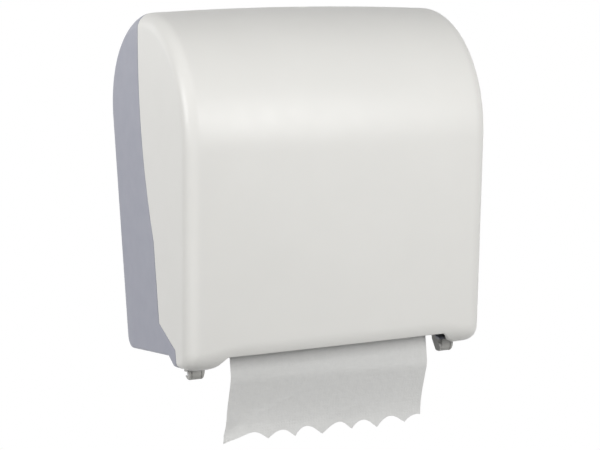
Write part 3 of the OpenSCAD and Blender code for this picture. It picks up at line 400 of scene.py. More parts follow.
def coverFaces(depth):
    def row(s, inset):
        def room(point):
            y, z = point
            limit = notchZ(s * (1 + y * draftSlope))
            limit += slotEdge["backSlope"] * max(0, y - slotEdge["backFrom"])
            return min(partingY(z) - parting["gap"] / 2 - y, z - limit)
        line = trimmed(frontOutline(s, inset, depth), room)
        # every row has the same number of points above the lower rounding
        lower = [i for i, (y, z) in enumerate(line) if y < frontCentre[0] and z < coverSizes["splitZ"]]
        split = lower[0]
        upper = spaced(line[:split + 1], coverSizes["columns"])
        return upper + spaced(line[split:], coverSizes["lowColumns"])[1:]
    rows = [(s, row(s, d)) for s, d in bothSides(sections(coverSizes["stops"], depth))]
    faces = [sheetOver("cover_skin", raised(rows))]
    edges = []
    for s, edge in (rows[0], rows[-1]):
        line = [onBody(s, y, z) for y, z in partingLine(edge[-1][1], edge[0][1], -parting["gap"] / 2)]
        faces.append(faceOf("cover_side", [onBody(s, y, z) for y, z in edge] + line))
        edges.append(line)
    top = [onBody(s, *line[0]) for s, line in rows]
    low = [onBody(s, *line[-1]) for s, line in rows]
    return faces, top + edges[1][::-1] + low[::-1] + edges[0]


lock = {
    "y": -121, "headR": 10.55, "headDepth": 2, "bore": 8.05, "bossR": 12, "bossLength": 10.5,
    "recessCut": 8, "shellCut": (8, 4), "bossCut": (20, 10), "lipR": 0.4,
}
hooks = {
    "width": 19.5, "footWidth": 14.5, "cornerR": 2, "flankTurn": 15, "topZ": 20, "reach": 12,
    "radius": 6.5, "pinR": 2.55, "mouth": 4.2, "neck": 5, "finT": 4.5, "back": 8,
    "frontEnd": 285, "heel": (2.6, -3.6), "heelR": 2.4, "heelTurn": (290, 350), "lipR": 0.35,
}
hingeArm = {
    "gap": 0.25, "eyeR": 6.4, "pinR": 2.52, "neck": (-136, 5.2), "neckR": 2.6,
    "tip": (-146.5, 5), "tipR": 1.4, "clear": 2, "holeCut": 16, "lipR": 0.7,
    "notchY": (-147, -133.5), "notchZ": (-2, 8),
}


def tapered(near, nearR, far, farR, count=24):
    # outline round two circles of different size
    along = math.degrees(math.atan2(far[1] - near[1], far[0] - near[0]))
    spread = math.degrees(math.acos((nearR - farR) / math.dist(near, far)))
    outline = around(near, nearR, along + spread, along + 360 - spread, count)
    return outline + around(far, farR, along - spread, along + spread, 6)


def armSpan():
    start = toes["x"] + hooks["finT"] + hingeArm["gap"]
    return start, toes["x"] + hooks["width"] - hooks["finT"] - hingeArm["gap"]


def buildHingeArm(side):
    # an eye on the pin, a neck between the fins and a strap forward into the cover's lower edge
    x0, x1 = armSpan()
    eye = (hinge["y"], hinge["z"])
    neck = tapered(eye, hingeArm["eyeR"], hingeArm["neck"], hingeArm["neckR"])
    arm = barAcross("hinge_arm", neck, side * x0, side * x1)
    strap = tapered(hingeArm["neck"], hingeArm["neckR"], hingeArm["tip"], hingeArm["tipR"])
    upper = barAcross("strap", strap, side * x0, side * x1)
    applied(arm, "BOOLEAN", operation="UNION", object=upper, solver="EXACT")
    bpy.data.objects.remove(upper)
    start = place(side * (x0 - hingeArm["clear"]), *eye)
    hole = pinOf("hole", start, hingeArm["pinR"] * mm, (side * hingeArm["holeCut"] * mm, 0, 0))
    return bevelled(cut(arm, hole), hingeArm["lipR"], 2, 50)


def lockBore(top, up, below, above):
    return pinOf("bore", top - up * below * mm, lock["bore"] * mm, up * (below + above) * mm, 64)


def buildLockBoss(top, up):
    low = top - up * (lock["headDepth"] + lock["bossLength"]) * mm
    boss = pinOf("boss", low, lock["bossR"] * mm, up * lock["bossLength"] * mm, 64)
    return bevelled(cut(boss, lockBore(top, up, *lock["bossCut"])), lock["lipR"], 2, 50)


def buildCover():
    outer, outerRim = coverFaces(0)
    inner, innerRim = coverFaces(body["wall"])
    shell = shellOf("cover_shell", outer + inner, outerRim, innerRim, coverSizes["lipR"])
    drop = math.asin((frontCentre[0] - lock["y"]) / body["frontR"])
    up = Vector((0, -math.sin(drop), math.cos(drop)))
    top = place(0, *frontCentre) + up * body["frontR"] * mm
    seat = top - up * lock["headDepth"] * mm
    cut(shell, pinOf("recess", seat, lock["headR"] * mm, up * lock["recessCut"] * mm, 64))
    cut(shell, lockBore(top, up, *lock["shellCut"]))
    return finished(joined("cover_shell", [shell, buildLockBoss(top, up)]))


coverShell = buildCover()
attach(coverShell, "cover")
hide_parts("cover")
print("cover modelled:", len(coverShell.data.polygons), "faces")

hingeArms = finished(joined("hinge_arms", [buildHingeArm(-1), buildHingeArm(1)]))
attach(hingeArms, "cover")
print("hinge arms modelled:", len(hingeArms.data.polygons), "faces")

# Housing

housingSizes = {
    "columns": 220, "toePoints": 12, "lipR": 0.7,
    "stops": [0, 20, 40, 60, 80, 100, 115, 124, 130.5, 138, 146],
}


def housingFaces(depth):
    def room(point):
        return point[0] - partingY(point[1]) - parting["gap"] / 2
    half = sections(housingSizes["stops"], depth)
    rows = []
    for s, d in bothSides(half):
        rows.append((s, spaced(trimmed(rearOutline(d, depth), room), housingSizes["columns"])))
    feet = []
    for s, d in half:
        if s >= toes["x"]:
            feet.append((s, spaced(trimmed(toeOutline(d, depth), room), housingSizes["toePoints"])))
    faces = [sheetOver("housing_skin", raised(rows))]
    edges = []
    for side, (s, edge) in ((-1, rows[0]), (1, rows[-1])):
        faces.append(sheetOver("housing_toe", raised([(side * t, line) for t, line in feet])))
        whole = edge + feet[-1][1][1:]
        line = [onBody(s, y, z) for y, z in partingLine(whole[-1][1], whole[0][1], parting["gap"] / 2)]
        faces.append(faceOf("housing_side", [onBody(s, y, z) for y, z in whole] + line))
        edges.append(line)
    top = [onBody(s, *line[0]) for s, line in rows]
    floor = [onBody(s, *line[-1]) for s, line in rows if abs(s) < toes["x"]]
    toe = {}
    for side in (-1, 1):
        ends = [onBody(side * s, *line[-1]) for s, line in feet]
        toe[side] = ends[::-1] + [onBody(side * feet[0][0], y, z) for y, z in feet[0][1][::-1][1:]]
    rim = top + edges[1][::-1] + toe[1] + floor[::-1] + toe[-1][::-1] + edges[0]
    return faces, rim


wallScrews = {
    "x": 140, "heights": (36, 236), "holeR": 2.75, "holeBack": 5, "wallCut": 12, "padCut": 20,
    "padR": 8, "padTop": -5, "lipR": 0.5,
}
footBosses = {
    "x": 129, "heights": (52, 102), "radius": 5, "top": -9, "holeR": 1.82, "holeDepth": 20, "lipR": 0.4,
}
armEars = {
    "x": 117.5, "y": -14, "z": 244, "apart": 21.5, "thick": 6, "radius": 5, "width": 8.8, "pinR": 2.52,
    "noseTurn": 28, "clear": 2, "lipR": 0.5,
}
strikeBlock = {"x0": 14, "x1": 24, "back": -76.5, "front": -96.5, "z": 352.71, "lipR": 0.4}


def screwHole(side, z, depth):
    start = place(side * wallScrews["x"], wallScrews["holeBack"], z)
    return pinOf("hole", start, wallScrews["holeR"] * mm, (0, -depth * mm, 0))


def buildInnerBosses(side):
    pieces = []
    for z in wallScrews["heights"]:
        start = place(side * wallScrews["x"], -body["wall"] / 2, z)
        pad = pinOf("pad", start, wallScrews["padR"] * mm, (0, wallScrews["padTop"] * mm - start.y, 0))
        hole = screwHole(side, z, wallScrews["padCut"])
        pieces.append(bevelled(cut(pad, hole), wallScrews["lipR"], 2, 50))
    for z in footBosses["heights"]:
        start = place(side * footBosses["x"], -body["wall"] / 2, z)
        post = pinOf("post", start, footBosses["radius"] * mm, (0, footBosses["top"] * mm - start.y, 0))
        mouth = place(side * footBosses["x"], -body["wall"], z)
        hole = pinOf("hole", mouth, footBosses["holeR"] * mm, (0, -footBosses["holeDepth"] * mm, 0))
        pieces.append(bevelled(cut(post, hole), footBosses["lipR"], 2, 50))
    return pieces


def buildArmEars(side):
    x, y, width = side * armEars["x"], armEars["y"], armEars["width"] / 2
    pieces = []
    for z in (armEars["z"] - armEars["apart"], armEars["z"] + armEars["apart"]):
        low = z - armEars["thick"] / 2
        root = -body["wall"] / 2
        nose = around((x, y), armEars["radius"], armEars["noseTurn"] - 180, -armEars["noseTurn"], 20)
        outline = [(x + width, root), (x - width, root)] + nose
        ear = barOf("ear", [place(a, b, low) for a, b in outline], Vector((0, 0, armEars["thick"])) * mm)
        run = (armEars["thick"] + 2 * armEars["clear"]) * mm
        hole = pinOf("hole", place(x, y, low - armEars["clear"]), armEars["pinR"] * mm, (0, 0, run))
        pieces.append(bevelled(cut(ear, hole), armEars["lipR"], 2, 50))
    return pieces


def buildStrikeBlock():
    # block under the roof that the strike is screwed to
    radius = body["rearR"] - body["wall"] / 2
    ends = (strikeBlock["back"], strikeBlock["front"])
    first, last = (math.degrees(math.acos((y - rearCentre[0]) / radius)) for y in ends)
    outline = around(rearCentre, radius, first, last, 6)
    outline += [(strikeBlock["front"], strikeBlock["z"]), (strikeBlock["back"], strikeBlock["z"])]
    block = barAcross("strike_block", outline, strikeBlock["x0"], strikeBlock["x1"])
    return bevelled(block, strikeBlock["lipR"], 2, 50)


def buildHousing():
    outer, outerRim = housingFaces(0)
    inner, innerRim = housingFaces(body["wall"])
    shell = shellOf("housing_shell", outer + inner, outerRim, innerRim, housingSizes["lipR"])
    fittings = [buildStrikeBlock()]
    for side in (-1, 1):
        for z in wallScrews["heights"]:
            cut(shell, screwHole(side, z, wallScrews["wallCut"]))
        fittings += buildInnerBosses(side) + buildArmEars(side)
        # notch in the toe for the cover's arm
        x0, x1 = armSpan()
        front, back = hingeArm["notchY"]
        low, high = hingeArm["notchZ"]
        room = [(front, low), (back, low), (back, high), (front, high)]
        cut(shell, barAcross("notch", room, side * (x0 - hingeArm["gap"]), side * (x1 + hingeArm["gap"])))
    return finished(joined("housing_shell", [shell] + fittings))


housingShell = buildHousing()
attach(housingShell, "base")
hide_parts("housing")
print("housing modelled:", len(housingShell.data.polygons), "faces")

# Hinge hooks under the toes

def toeMiddle(y):
    # height of the middle of the toe's wall, where the fins end
    kneeY, kneeZ = toes["knee"]
    return kneeZ + (body["floorZ"] - kneeZ) * (y - kneeY) / (body["floorY"] - kneeY) + body["wall"] / 2


def hookProfiles():
    # outer fin: a hook with its mouth to the wall; inner fin: closed, with a slanting back
    y, z, r = hinge["y"], hinge["z"], hooks["radius"]
    half = hooks["mouth"] / 2
    lip = math.degrees(math.asin(half / r))
    inside = math.degrees(math.asin(half / hooks["pinR"]))
    neckTurn = math.degrees(math.acos(hooks["neck"] / r))
    outer = around((y, z), r, lip, neckTurn, 4)
    outer += [(edge, toeMiddle(edge)) for edge in (y + hooks["neck"], y - hooks["neck"])]
    outer += around((y, z), r, 180 - neckTurn, 360 - lip, 30)
    outer += around((y, z), hooks["pinR"], 360 - inside, inside, 30)
    inner = [(edge, toeMiddle(edge)) for edge in (y + hooks["back"], y - hooks["neck"])]
    inner += around((y, z), r, 180 - neckTurn, hooks["frontEnd"], 20)
    heel = (y + hooks["heel"][0], z + hooks["heel"][1])
    inner += around(heel, hooks["heelR"], *hooks["heelTurn"], 6)
    return outer, inner


def buildHook(side):
    outer, inner = hookProfiles()
    x0, x1 = toes["x"], toes["x"] + hooks["width"]
    fins = [barAcross("fin", inner, side * x0, side * (x0 + hooks["finT"]))]
    fins.append(barAcross("fin", outer, side * (x1 - hooks["finT"]), side * x1))
    # front view: narrower at the foot, with round lower corners
    c, turn = hooks["cornerR"], hooks["flankTurn"]
    low = hinge["z"] - hooks["radius"]
    inset = (hooks["width"] - hooks["footWidth"]) / 2
    high, root = hooks["topZ"], toes["tip"][1]
    front = [(x0, high), (x0, root)] + around((x0 + inset + c, low + c), c, 180 + turn, 270, 8)
    front += around((x1 - inset - c, low + c), c, 270, 360 - turn, 8) + [(x1, root), (x1, high)]
    start = [place(side * x, hinge["y"] - hooks["reach"], z) for x, z in front]
    for fin in fins:
        taper = barOf("taper", start, Vector((0, 2 * hooks["reach"], 0)) * mm)
        applied(fin, "BOOLEAN", operation="INTERSECT", object=taper, solver="EXACT")
        bpy.data.objects.remove(taper)
        bevelled(fin, hooks["lipR"], 2, 50)
    return fins


hingeHooks = finished(joined("hinge_hooks", buildHook(-1) + buildHook(1)))
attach(hingeHooks, "base")
print("hooks modelled:", len(hingeHooks.data.polygons), "faces")

# Towel roll: wound paper with uneven layer edges on its ends

roll = {
    "centre": (-110, 242.7), "radius": 95, "bore": 22, "half": 110, "edgeR": 0.8,
    "layerStep": 2.4, "layerRise": 0.25, "layerWaves": (2.3, 0.7), "endGap": 0.3,
}


def buildRoll():
    layers = int((roll["radius"] - roll["bore"]) / roll["layerStep"])
    radii = steps(roll["radius"] - roll["edgeR"], roll["bore"], layers)
    quick, slow = roll["layerWaves"]
    uneven = [roll["layerRise"] * math.sin(quick * i) * math.sin(slow * i + 1) for i in range(len(radii))]
    profile = [(-roll["half"] + roll["edgeR"], roll["radius"])]
    profile += [(x, roll["radius"]) for x in steps(-roll["half"], roll["half"], 8)[1:-1]]
    profile += [(roll["half"] - roll["edgeR"], roll["radius"])]
    profile += [(roll["half"] - roll["endGap"] - abs(u), r) for r, u in zip(radii, uneven)]
    profile += [(-roll["half"] + roll["endGap"] + abs(u), r) for r, u in zip(radii[::-1], uneven[::-1])]
    profile.append(profile[0])
    y, z = roll["centre"]
    rows = []
    for a in steps(0, 2 * math.pi, 128):
        rows.append([place(x, y + r * math.cos(a), z + r * math.sin(a)) for x, r in profile])
    return smoothed(merged(sheetOver("wound_roll", rows)), 30)


woundRoll = buildRoll()
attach(woundRoll, "roll")
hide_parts("towel_roll")
print("roll modelled:", len(woundRoll.data.polygons), "faces")

# Paper towel: off the roll, under the pinch roller, over the drum and out of the slot

towel = {
    "width": 220, "thick": 0.2, "runGap": 0.4, "aside": 2.7,
    "pinch": (-109, 112.8), "pinchR": 12, "drum": (-109, 64), "drumR": 36, "drumTurn": (93, 180),
    # (height, depth) down the hanging tail, with a fold that runs lower on the right
    "tail": [(0, -145.4), (-11, -145.3), (-15, -144.8), (-19, -143.3), (-23, -141.2), (-27, -139.1),
             (-38, -133.4), (-48, -128.6), (-58, -124.8), (-68, -122.2), (-84, -120.6)],
    "foldFrom": -6, "foldSlope": 0.035,
    "length": 82, "columnStep": 2.2, "edgeGap": 0.5, "pointGap": 0.6, "evenTo": -62,
    # waves in the tail: how far forward and back, and how long
    "sway": {"depth": 0.9, "across": 27, "shift": 0.6},
    "ripple": {"depth": 0.5, "across": 11, "down": 15},
    # start, end, height and spread of each crease
    "creases": [((-70, -51), (-38, -37), 0.6, 1.6), ((-30, -34), (-4, -22), 0.3, 2),
                ((20, -62), (58, -50), 0.3, 2.4)],
    # lower left corner: where it starts, how far it curls back, and how its tip turns forward and flares
    "corner": {"x": -88, "run": 20, "z": -55, "drop": 22, "tip": 0.7, "back": 4.5, "forward": 18,
               "flare": 4.5, "flareZ": -60, "flareDrop": 18},
    # points left by the blade's teeth: place, height, rise of the scallop on the right, its top's share
    # and its left flank
    "teeth": [(-109, -78.7, 8.1, 0.66, 2.2), (-62, -79.3, 7.7, 0.54, 0.9), (-32, -80.7, 9.4, 0.43, 0.8),
              (-1.5, -82, 9.5, 0.58, 1.1), (33, -81.4, 8.8, 0.46, 0.8), (61.5, -82.9, 9.4, 0.46, 0.9),
              (94, -81.4, 7.1, 0.46, 0.8), (126, -82, 7, 0.5, 1)],
    "rightFlank": 1.2, "leftRise": 0.5,
}


def tailY(z):
    # smooth line through the tail's points
    points = towel["tail"]
    i = max(k for k in range(len(points) - 1) if points[k][0] >= z or k == 0)
    a, b = points[i], points[i + 1]
    before, after = points[max(i - 1, 0)], points[min(i + 2, len(points) - 1)]
    t = (z - a[0]) / (b[0] - a[0])
    slopeA = (b[1] - before[1]) / (b[0] - before[0]) * (b[0] - a[0])
    slopeB = (after[1] - a[1]) / (after[0] - a[0]) * (b[0] - a[0])
    upper = (a[1] * (1 + 2 * t) + slopeA * t) * (1 - t) ** 2
    return upper + (b[1] * (3 - 2 * t) + slopeB * (t - 1)) * t * t


def tornZ(x):
    # torn lower edge: uneven scallops between the points that the teeth leave
    teeth = towel["teeth"]
    if x < teeth[0][0]:
        return teeth[0][1] + towel["leftRise"] * (teeth[0][0] - x)
    i = max(k for k in range(len(teeth) - 1) if teeth[k][0] <= x)
    (x0, z0, rise, top, flank), (x1, z1) = teeth[i], teeth[i + 1][:2]
    t = (x - x0) / (x1 - x0)
    if t < top:
        share = math.sin(math.pi / 2 * t / top) ** flank
    else:
        share = math.cos(math.pi / 2 * (t - top) / (1 - top)) ** towel["rightFlank"]
    return z0 + (z1 - z0) * t + rise * share


def towelPath():
    gap = towel["runGap"]
    rollR, pinchR, drumR = roll["radius"] + gap, towel["pinchR"] + gap, towel["drumR"] + gap
    (ry, rz), (py, pz) = roll["centre"], towel["pinch"]
    span = math.dist(roll["centre"], towel["pinch"])
    touch = math.degrees(math.atan2(pz - rz, py - ry) + math.acos((rollR - pinchR) / span))
    start = onCircle(roll["centre"], rollR, touch)
    nip = around(towel["pinch"], pinchR, touch, -90, 12)
    over = around(towel["drum"], drumR, *towel["drumTurn"], 30)
    drop = lineOf([over[-1], (over[-1][0], 0)], 12)
    return lineOf([start, nip[0]], 14)[:-1] + nip + over + drop[1:]


def towelColumns():
    # even columns, and one on each point of the torn edge
    half = towel["width"] / 2
    points = [tooth[0] - towel["aside"] for tooth in towel["teeth"]]
    points = [x for x in points if abs(x) < half - towel["edgeGap"]]
    even = steps(-half, half, int(towel["width"] / towel["columnStep"]))
    even = [x for x in even if all(abs(x - point) > towel["pointGap"] for point in points)]
    return sorted(points + even)


def buildTowel():
    path = towelPath()
    tail = steps(0, towel["evenTo"], 34)[1:]
    columns = towelColumns()
    rows = []
    for i, (y, z) in enumerate(path):
        aside = towel["aside"] * i / (len(path) - 1)
        rows.append([place(x + aside, y, z) for x in columns])
    for z in tail:
        rows.append([tailPoint(x + towel["aside"], z) for x in columns])
    torn = [x + towel["aside"] for x in columns]
    for share in steps(0, 1, 9)[1:]:
        rows.append([tailPoint(x, tail[-1] + (tornZ(x) - tail[-1]) * share) for x in torn])
    sheet = sheetOver("paper_towel", rows)
    inEdit(sheet, lambda: bpy.ops.mesh.normals_make_consistent(inside=False))
    applied(sheet, "SOLIDIFY", thickness=towel["thick"] * mm, offset=0)
    length = sum(math.dist(p, q) for p, q in zip(path, path[1:]))
    line = [(tailY(z), z) for z in steps(0, -towel["length"], 40)]
    length += sum(math.dist(p, q) for p, q in zip(line, line[1:]))
    return smoothed(sheet, 60), length


def creaseAt(x, z, start, end, height, spread):
    # soft ridge along a line on the tail
    along = Vector((end[0] - start[0], end[1] - start[1]))
    t = min(max((Vector((x - start[0], z - start[1])) @ along) / along.length_squared, 0), 1)
    away = (Vector((x - start[0], z - start[1])) - along * t).length
    return height * math.exp(-(away / spread) ** 2)


def tailPoint(x, z):
    sway, ripple, corner = towel["sway"], towel["ripple"], towel["corner"]
    low = min(max(-z / towel["length"], 0), 1)
    swing = sway["depth"] * math.sin(x / sway["across"] + sway["shift"]) * low ** 2
    swing += ripple["depth"] * math.sin(x / ripple["across"] - z / ripple["down"]) * low ** 3
    for crease in towel["creases"]:
        swing -= creaseAt(x, z, *crease)
    # the lower left corner curls back and its very tip turns forward
    across = max(0, (corner["x"] - x) / corner["run"])
    curl = across * max(0, (corner["z"] - z) / corner["drop"])
    swing += corner["back"] * min(curl, corner["tip"]) - corner["forward"] * max(0, curl - corner["tip"])
    flare = -corner["flare"] * max(0, (corner["flareZ"] - z) / corner["flareDrop"]) ** 2 * across
    level = z
    if z < towel["foldFrom"]:
        level = max(z + towel["foldSlope"] * x, towel["tail"][-1][0])
    return place(x + flare, tailY(level) + swing, z)


paperTowel, towelLength = buildTowel()
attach(paperTowel, "base")
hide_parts("towel_sheet")
print("towel modelled:", round(towelLength), "mm long")

# Return spring between the crank pin and the post on the left side plate

spring = {
    "x": -134.1, "pin": (-92.13, 74.75), "post": (-40, 108), "coilR": 4, "wire": 1.2,
    "turns": 18.5, "perTurn": 20, "lead": 8.8, "hook": 240,
}


def buildSpring():
    length = math.dist(spring["pin"], spring["post"])
    along = tuple((b - a) / length for a, b in zip(spring["pin"], spring["post"]))
    r = spring["coilR"]
    line = [(u, v, 0) for u, v in around((0, 0), r, 270 - spring["hook"], 270, 16)]
    coil = length - 2 * spring["lead"]
    for t in steps(0, spring["turns"] * 360, int(spring["turns"] * spring["perTurn"])):
        a = math.radians(t)
        u = spring["lead"] + coil * t / 360 / spring["turns"]
        line.append((u, -r * math.cos(a), r * math.sin(a)))
    line += [(u, v, 0) for u, v in around((length, 0), r, 90, 90 - spring["hook"], 16)]
    bpy.ops.object.select_all(action="DESELECT")
    bpy.ops.curve.primitive_nurbs_path_add()
    wire = bpy.context.object
    wire.name = "coil_spring"
    wire.data.splines.clear()
    run = wire.data.splines.new("POLY")
    run.points.add(len(line) - 1)
    for point, (u, v, w) in zip(run.points, line):
        y = spring["pin"][0] + u * along[0] - v * along[1]
        z = spring["pin"][1] + u * along[1] + v * along[0]
        point.co = (*place(spring["x"] + w, y, z), 1)
    wire.data.bevel_depth = spring["wire"] / 2 * mm
    wire.data.bevel_resolution = 2
    wire.data.use_fill_caps = True
    onlySelect(wire)
    bpy.ops.object.convert(target="MESH")
    return smoothed(bpy.context.object, 60)


coilSpring = buildSpring()
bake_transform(coilSpring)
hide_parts("return_spring")
print("spring modelled:", len(coilSpring.data.polygons), "faces")


# Materials

def linear(code):
    # sRGB hex to the linear colour that a shader takes
    parts = [int(code[i:i + 2], 16) / 255 for i in (1, 3, 5)]
    return [p / 12.92 if p <= 0.04045 else ((p + 0.055) / 1.055) ** 2.4 for p in parts] + [1]


def addNode(tree, kind, settings=None, links=None):
    # a node with its settings, and links from other nodes' sockets to its own
    node = tree.nodes.new(kind)
    for key, value in (settings or {}).items():
        if isinstance(key, int) or key in node.inputs:
            node.inputs[key].default_value = value
        else:
            setattr(node, key, value)
    for key, socket in (links or {}).items():
        tree.links.new(socket, node.inputs[key])
    return node


def startMaterial(name, **settings):
    # a new material with its shader, and the piece's own coordinates in metres
    material = bpy.data.materials.new(name)
    material.use_nodes = True
    tree = material.node_tree
    tree.nodes.clear()
    shader = addNode(tree, "ShaderNodeBsdfPrincipled", settings)
    addNode(tree, "ShaderNodeOutputMaterial", {}, {"Surface": shader.outputs[0]})
    return material, tree, shader, addNode(tree, "ShaderNodeTexCoord").outputs["Object"]


def perMetre(millimetres):
    # texture scale for a pattern that repeats every so many millimetres
    return 1000 / millimetres


def moulded(name, light, dark, grain, roughness, bump, **settings):
    # moulded plastic: two close shades in broad clouds, faint rubbing in the gloss, and a fine tool grain
    # that is drawn as coarse as it needs to show
    material, tree, shader, spot = startMaterial(name, **settings)
    clouds = addNode(
        tree, "ShaderNodeTexNoise", {"Scale": perMetre(70), "Detail": 3, "Roughness": 0.55},
        {"Vector": spot})
    tint = addNode(
        tree, "ShaderNodeMix", {"data_type": "RGBA", 6: linear(light), 7: linear(dark)},
        {0: clouds.outputs[0]})
    tree.links.new(tint.outputs[2], shader.inputs["Base Color"])
    fine = addNode(
        tree, "ShaderNodeTexNoise", {"Scale": perMetre(grain), "Detail": 2, "Roughness": 0.6},
        {"Vector": spot})
    rubbed = addNode(
        tree, "ShaderNodeTexNoise", {"Scale": perMetre(18), "Detail": 6, "Roughness": 0.7},
        {"Vector": spot})
    gloss = addNode(
        tree, "ShaderNodeMapRange", {1: 0.3, 2: 0.75, 3: roughness - 0.05, 4: roughness + 0.07},
        {0: rubbed.outputs[0]})
    tree.links.new(gloss.outputs[0], shader.inputs["Roughness"])
    rise = addNode(
        tree, "ShaderNodeBump", {"Strength": bump, "Distance": 0.0003}, {"Height": fine.outputs[0]})
    tree.links.new(rise.outputs[0], shader.inputs["Normal"])
    return material


def drawnSteel(name, light, dark, roughness, stretch, streak):
    # metal with the fine lines of its drawing or grinding, drawn as coarse as they need to show
    material, tree, shader, spot = startMaterial(name, Metallic=1)
    lines = addNode(tree, "ShaderNodeMapping", {"Scale": stretch}, {"Vector": spot})
    fine = addNode(
        tree, "ShaderNodeTexNoise", {"Scale": perMetre(streak), "Detail": 4, "Roughness": 0.65},
        {"Vector": lines.outputs[0]})
    tint = addNode(
        tree, "ShaderNodeMix", {"data_type": "RGBA", 6: linear(light), 7: linear(dark)},
        {0: fine.outputs[0]})
    tree.links.new(tint.outputs[2], shader.inputs["Base Color"])
    gloss = addNode(
        tree, "ShaderNodeMapRange", {1: 0.3, 2: 0.7, 3: roughness - 0.06, 4: roughness + 0.1},
        {0: fine.outputs[0]})
    tree.links.new(gloss.outputs[0], shader.inputs["Roughness"])
    rise = addNode(
        tree, "ShaderNodeBump", {"Strength": 0.15, "Distance": 0.0002}, {"Height": fine.outputs[0]})
    tree.links.new(rise.outputs[0], shader.inputs["Normal"])
    return material


# pearl ABS with a satin skin: off-white with a soft broad gloss
pearlAbs = moulded(
    "pearl satin ABS", "#efeeea", "#eae9e5", 1.4, 0.37, 0.05, **{"IOR": 1.5, "Specular IOR Level": 0.32})
# grey ABS with a lilac cast, a little duller than the cover
lilacAbs = moulded("grey lilac ABS", "#9fa1ae", "#989aa8", 1.4, 0.4, 0.06, IOR=1.53)
# neutral grey ABS of the hinge hooks and arms, paler and duller than the housing
hookAbs = moulded("grey hinge ABS", "#b9b8b4", "#b0afab", 1.2, 0.5, 0.08, IOR=1.53)
# glass-filled nylon: dark grey, dull and grained
chassisNylon = moulded("glass filled nylon", "#74777b", "#66696d", 1.0, 0.55, 0.2, IOR=1.53)
# natural acetal: milky white and slightly waxy
acetal = moulded("natural acetal", "#f0efe8", "#e8e7df", 1.2, 0.34, 0.05, IOR=1.48)
# green ABS of the feed knob, with a soft gloss
knobAbs = moulded("green ABS", "#4f8a5b", "#477f54", 1.2, 0.36, 0.08, IOR=1.53)
# vulcanised rubber: near black and dull
rubber = moulded("vulcanised rubber", "#2e2e2f", "#272728", 0.9, 0.75, 0.25, IOR=1.52)
# zinc plated steel with drawing lines along the bars
zincSteel = drawnSteel("zinc plated steel", "#c6c8cb", "#b2b4b8", 0.34, (0.06, 1, 1), 1.5)
# spring wire, dark from drawing
springWire = drawnSteel("drawn spring wire", "#96989b", "#7c7e81", 0.3, (1, 1, 1), 1.2)
# stainless strip ground across its length
bladeSteel = drawnSteel("ground stainless steel", "#d0d1d3", "#bdbec1", 0.26, (1, 0.06, 0.06), 1.2)


def creped(name, light, dark, rings=None):
    # towel paper: creped across its run, with a faint embossed dot every 3 mm and cloudy fibre
    material, tree, shader, spot = startMaterial(
        name, **{"IOR": 1.4, "Roughness": 0.92, "Specular IOR Level": 0.2})
    fibre = addNode(
        tree, "ShaderNodeTexNoise", {"Scale": perMetre(5), "Detail": 8, "Roughness": 0.72},
        {"Vector": spot})
    tint = addNode(
        tree, "ShaderNodeMix", {"data_type": "RGBA", 6: linear(light), 7: linear(dark)},
        {0: fibre.outputs[0]})
    colour = tint.outputs[2]
    # the crepe's ridges lie across the width, about 0.8 mm apart, drawn at 2.4 mm to show
    crepeWay = addNode(tree, "ShaderNodeMapping", {"Scale": (0.3, 1, 1)}, {"Vector": spot})
    crepe = addNode(
        tree, "ShaderNodeTexNoise", {"Scale": perMetre(2.4), "Detail": 4, "Roughness": 0.65},
        {"Vector": crepeWay.outputs[0]})
    dots = addNode(
        tree, "ShaderNodeTexVoronoi", {"Scale": perMetre(3), "Randomness": 0.15}, {"Vector": spot})
    press = addNode(
        tree, "ShaderNodeMapRange", {1: 0.15, 2: 0.45, 3: 0, 4: 1}, {0: dots.outputs["Distance"]})
    height = addNode(
        tree, "ShaderNodeMath", {"operation": "MULTIPLY_ADD", 1: 0.16},
        {0: press.outputs[0], 2: crepe.outputs[0]})
    # a soft crumple from handling, in waves of about 11 mm
    waves = addNode(
        tree, "ShaderNodeTexNoise", {"Scale": perMetre(11), "Detail": 3, "Roughness": 0.5},
        {"Vector": spot})
    height = addNode(
        tree, "ShaderNodeMath", {"operation": "MULTIPLY_ADD", 1: 2.2},
        {0: waves.outputs[0], 2: height.outputs[0]})
    if rings:
        # edges of the wound layers, about 0.4 mm each, drawn at 1.5 mm to show as darker rings: painted
        # shade between the layers
        centred = addNode(
            tree, "ShaderNodeMapping", {"Location": rings, "Scale": (0, 1, 1)}, {"Vector": spot})
        away = addNode(tree, "ShaderNodeVectorMath", {"operation": "LENGTH"}, {0: centred.outputs[0]})
        turn = addNode(
            tree, "ShaderNodeMath", {"operation": "MULTIPLY", 1: perMetre(1.5)},
            {0: away.outputs["Value"]})
        band = addNode(
            tree, "ShaderNodeTexNoise", {"noise_dimensions": "1D", "Scale": 1, "Detail": 2},
            {"W": turn.outputs[0]})
        shade = addNode(
            tree, "ShaderNodeMapRange", {1: 0.25, 2: 0.75, 3: 0.82, 4: 1}, {0: band.outputs[0]})
        # the rings darken the paper's colour: painted shade between the wound layers
        ringShaded = addNode(
            tree, "ShaderNodeMix", {"data_type": "RGBA", "blend_type": "MULTIPLY", 0: 1},
            {6: colour, 7: shade.outputs[0]})
        colour = ringShaded.outputs[2]
    tree.links.new(colour, shader.inputs["Base Color"])
    rise = addNode(
        tree, "ShaderNodeBump", {"Strength": 0.5, "Distance": 0.0006}, {"Height": height.outputs[0]})
    tree.links.new(rise.outputs[0], shader.inputs["Normal"])
    return material


towelPaper = creped("creped towel paper", "#eeeeec", "#e2e2e0")
rollCentre = place(0, *roll["centre"])
rollPaper = creped("wound towel paper", "#f1f1ef", "#e6e6e4", (0, -rollCentre.y, -rollCentre.z))


